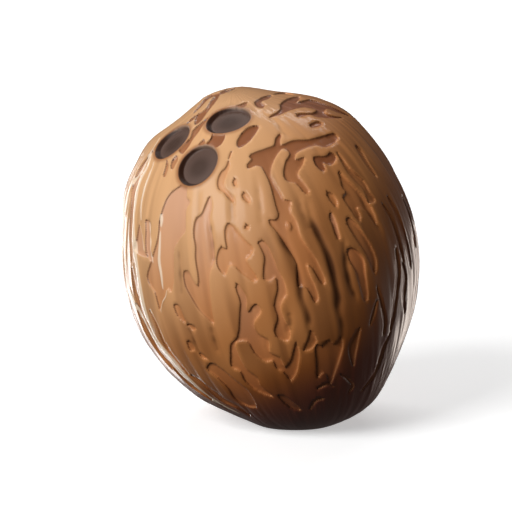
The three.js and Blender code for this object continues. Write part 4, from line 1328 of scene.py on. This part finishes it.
# Where each look sets in: a field, its values where the look begins and is full, and, where they
# aren't 0 and 1, the shares of the look there
RAMPS = {
    "middle_skin": ("painted_shade", 0.02, 0.4),
    "dark_skin": ("painted_shade", 0.44, 0.66),
    "darkest_skin": ("painted_shade", 0.6, 0.8),
    "shade_band": ("flute", 0.35, 0.9),
    "shade_band_share": ("painted_shade", 0.0, 0.45, 0.2, 0.44),
    "furrow_shade": ("shade", 0.1, 1.0, 0.0, 0.45),
    "orange_floor": ("painted_shade", 0.3, 0.5),
    "pale_floor": ("tone", 0.1, 1.0, 0.0, 0.6),
    "dark_floor": ("tone", 0.0, -1.0, 0.0, 0.9),
    "pale_highlight": ("painted_shade", 0.26, 0.06),
    "lit_line": ("lit_wall", 0.3, 0.9),
    "shaded_line": ("shaded_wall", 0.2, 0.8, 0.0, 0.9),
    "furrow_skin": ("furrow", 0.2, 1.0, 0.0, 0.85),
    "eye_halo": ("eye", EYE_RADIUS + 1.8, EYE_RADIUS, 0.0, 0.75),
    "eye_wall": ("eye", EYE_RADIUS + 0.15, EYE_RADIUS - 0.3),
    "eye_lit": ("eye_slant", 0.2, 0.8, 0.0, 0.6),
    "eye_floor": ("eye_wall", 0.3, -0.1),
    "eye_middle": ("eye", 5.6, 1.5, 0.0, 0.9),
    "outside_eye": ("eye", EYE_RADIUS - 0.3, EYE_RADIUS + 0.6),
    "gloss": ("side", 0.0, 1.0, 0.12, 0.5),
    "fibres": ("side", 0.0, 1.0, 0.15, 0.8),
}

# Shares of a look that are the same all over, and the distances between which the painted highlight on
# the eye's rim fades
STRAND_SHARE = 0.35
RED_SHARE = 0.35
LIT_SHARE = 0.45
THREAD_HIGHLIGHT_SHARE = 0.75
RIM_HIGHLIGHT_FADE = (0.5, 0.1)

# The fibres' height in millimetres, how often they change round the nut and along it, and how fine
# and uneven they are
FIBRE_HEIGHT = 0.3
FIBRE_SCALE = (26.0, 26.0, 2.0)
FIBRE_NOISE = {"Scale": 1.0, "Detail": 3.0, "Roughness": 0.55}

# How rough, bright and glossy the shell is
SHELL_FINISH = {"Roughness": 0.5, "Specular IOR Level": 0.2, "Coat Roughness": 0.15}


def skin_colour(shader):
    """Painted shade from tan at the upper left to brown at the lower right, more painted shade in the
    troughs of the flutes and beside the furrows, and darker streaks along the strands.
    """
    # The skin's steps of painted shade, from the lit upper left to the shaded lower right
    light = shader.mix(shader.ramp("middle_skin"), LIGHT_SKIN, MIDDLE_SKIN)
    middle = shader.mix(shader.ramp("dark_skin"), light, DARK_SKIN)
    skin = shader.mix(shader.ramp("darkest_skin"), middle, DARKEST_SKIN)
    # Painted shade in the troughs of the flutes, stronger towards the shaded side, and beside the
    # furrows
    shade_band = shader.maths("MULTIPLY", shader.ramp("shade_band"), shader.ramp("shade_band_share"))
    skin = shader.mix(shade_band, skin, SHADE_AND_STREAK_SKIN)
    skin = shader.mix(shader.ramp("furrow_shade"), skin, SHADE_AND_STREAK_SKIN)
    return shader.mix(shader.maths("MULTIPLY", "strand", STRAND_SHARE), skin, SHADE_AND_STREAK_SKIN)


def patched(shader, skin):
    """Patch floors, a little redder than the skin, and thin lines of painted highlight and painted
    shade along their walls.
    """
    red = shader.mix(RED_SHARE, skin, RED_FLOOR)
    light = shader.mix(shader.ramp("orange_floor"), PALE_FLOOR, ORANGE_FLOOR)
    pale = shader.mix(shader.ramp("pale_floor"), red, light)
    floor = shader.mix(shader.ramp("dark_floor"), pale, DARK_FLOOR)
    whole = shader.mix("sunk", skin, floor)
    # A painted highlight on walls facing the light, paler on the lit side, and painted shade on walls
    # facing away
    lit_line = shader.mix(shader.ramp("pale_highlight"), LIT_LINE, PALE_HIGHLIGHT)
    share = shader.maths("MULTIPLY", shader.ramp("lit_line"), LIT_SHARE)
    lit = shader.mix(share, whole, lit_line)
    return shader.mix(shader.ramp("shaded_line"), lit, SHADED_LINE, "MULTIPLY")


def eyed(shader, skin):
    """The three eyes: a soft brown halo, painted shade on the wall, a painted highlight on the upper
    right of the rim, and a grey-brown floor, darker in the middle.
    """
    halo = shader.mix(shader.ramp("eye_halo"), skin, EYE_HALO)
    wall = shader.mix(shader.ramp("eye_wall"), halo, EYE_WALL_SHADE)
    # A painted highlight on the upper right of the rim
    off_rim = shader.maths("ABSOLUTE", shader.maths("SUBTRACT", "eye", EYE_RADIUS))
    rim_highlight_share = shader.maths("MULTIPLY", shader.ramp("eye_lit"), shader.span(off_rim, *RIM_HIGHLIGHT_FADE))
    rim = shader.mix(rim_highlight_share, wall, EYE_RIM_HIGHLIGHT)
    floor = shader.mix(shader.ramp("eye_floor"), rim, EYE_FLOOR)
    return shader.mix(shader.ramp("eye_middle"), floor, EYE_MIDDLE)


def fibre_bump(shader):
    """Fine fibres along the nut, fainter in front."""
    place = shader.node("VectorMath", operation="MULTIPLY")
    shader.link(shader.field("grain", "Vector"), place.inputs[0])
    shader.link(FIBRE_SCALE, place.inputs[1])
    noise = shader.node("TexNoise")
    shader.link(place.outputs[0], noise.inputs["Vector"])
    for name, value in FIBRE_NOISE.items():
        shader.link(value, noise.inputs[name])
    bump = shader.node("Bump")
    shader.link(FIBRE_HEIGHT * MM, bump.inputs["Distance"])
    shader.link(shader.ramp("fibres"), bump.inputs["Strength"])
    shader.link(noise.outputs["Fac"], bump.inputs["Height"])
    return bump.outputs["Normal"]


def shell_look():
    shader = Shader("shell")
    skin = shader.mix(shader.ramp("furrow_skin"), skin_colour(shader), FURROW_SKIN)
    # The raised threads carry a pale painted highlight
    thread = shader.maths("MULTIPLY", "thread", THREAD_HIGHLIGHT_SHARE)
    skin = shader.mix(thread, patched(shader, skin), THREAD_HIGHLIGHT)
    gloss = shader.maths("MULTIPLY", shader.ramp("gloss"), shader.ramp("outside_eye"))
    parts = {"Base Color": eyed(shader, skin), "Coat Weight": gloss, "Normal": fibre_bump(shader)}
    return shader.finish(SHELL_FINISH | parts)


# The studio: its looks, the strength of its air, the middle of its backdrop in metres, and the
# width of the camera's sensor in millimetres
STUDIO_WHITE = (0.93, 0.93, 0.93, 1.0)
STUDIO_FINISH = {
    "Base Color": STUDIO_WHITE,
    "Roughness": 0.9,
    "Emission Color": STUDIO_WHITE,
    "Emission Strength": 0.5,
}
PLAIN_TINT = (1.0, 1.0, 1.0)
WARM_TINT = (1.0, 0.88, 0.79)
AIR_STRENGTH = 0.06
BACKDROP = (0.0, 1.8, 0.6)
SENSOR_WIDTH = 36


def build_floor():
    """A pale floor that curves up into a backdrop, in metres."""
    half_width = 6.0
    front = -6.0
    bend_at = 1.2
    bend = 0.8
    bend_steps = 12
    top = 3.0
    profile = [(front, 0.0), (bend_at, 0.0)]
    for step in range(1, bend_steps + 1):
        angle = math.pi / 2 * step / bend_steps
        profile.append((bend_at + bend * math.sin(angle), bend * (1 - math.cos(angle))))
    profile.append((bend_at + bend, top))
    places = [(side * half_width, y, z) for y, z in profile for side in (-1, 1)]
    faces = [(i, i + 1, i + 3, i + 2) for i in range(0, len(places) - 2, 2)]
    floor = smooth_piece("floor", places, faces)
    floor.data.materials.append(Shader("studio_white").finish(STUDIO_FINISH))
    floor.visible_diffuse = False
    floor.visible_glossy = False
    floor.visible_shadow = False
    return floor


def put_in_place(name, content, location, target):
    """A lamp or camera at a location, looking at a target."""
    holder = bpy.data.objects.new(name, content)
    holder.location = location
    holder.rotation_mode = "QUATERNION"
    holder.rotation_quaternion = (Vector(target) - Vector(location)).to_track_quat("-Z", "Y")
    bpy.context.scene.collection.objects.link(holder)
    return holder


def softbox(name, location, size, power, target, tint=PLAIN_TINT):
    lamp = bpy.data.lights.new(name, "AREA")
    lamp.color = tint
    lamp.shape = "RECTANGLE"
    lamp.size, lamp.size_y = size
    lamp.energy = power
    put_in_place(name, lamp, location, target)


def light_studio(centre):
    """Softboxes, each with its place and size in metres and its power, and a little light all round."""
    softbox("key_light", (-0.78, -0.85, 0.72), (0.7, 0.7), 17.8, centre)
    softbox("left_back", (-0.55, 0.8, -0.2), (0.3, 0.9), 4.5, centre)
    softbox("right_back", (0.6, 0.78, -0.16), (0.4, 0.38), 1.8, centre, WARM_TINT)
    softbox("right_side", (0.9, 0.42, -0.14), (0.15, 0.3), 0.8, centre, WARM_TINT)
    softbox("backdrop_light", (0.0, 0.9, 1.8), (2.0, 0.6), 30.0, BACKDROP)
    world = bpy.data.worlds.new("studio_air")
    world.use_nodes = True
    background = world.node_tree.nodes["Background"]
    background.inputs["Color"].default_value = (*PLAIN_TINT, 1.0)
    background.inputs["Strength"].default_value = AIR_STRENGTH
    bpy.context.scene.world = world


def place_camera(centre):
    """The front view, a little above, framed as the sheet."""
    camera = bpy.data.cameras.new("camera")
    camera.sensor_width = SENSOR_WIDTH
    camera.lens = SENSOR_WIDTH * VIEW_DISTANCE / (SHEET_SIZE * UNIT)
    camera.shift_x = -(SHEET_U - SHEET_SIZE / 2) / SHEET_SIZE
    camera.shift_y = (SHEET_V - SHEET_SIZE / 2) / SHEET_SIZE
    location = centre + Vector(TOWARDS) * VIEW_DISTANCE * MM
    bpy.context.scene.camera = put_in_place("camera", camera, location, centre)


nut = build_nut()
nut.data.materials.append(shell_look())
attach(nut, "root")
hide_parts("coconut")
build_floor()
nut_centre = Vector(CENTRE * MM)
light_studio(nut_centre)
place_camera(nut_centre)
bpy.context.scene.view_settings.view_transform = "Standard"
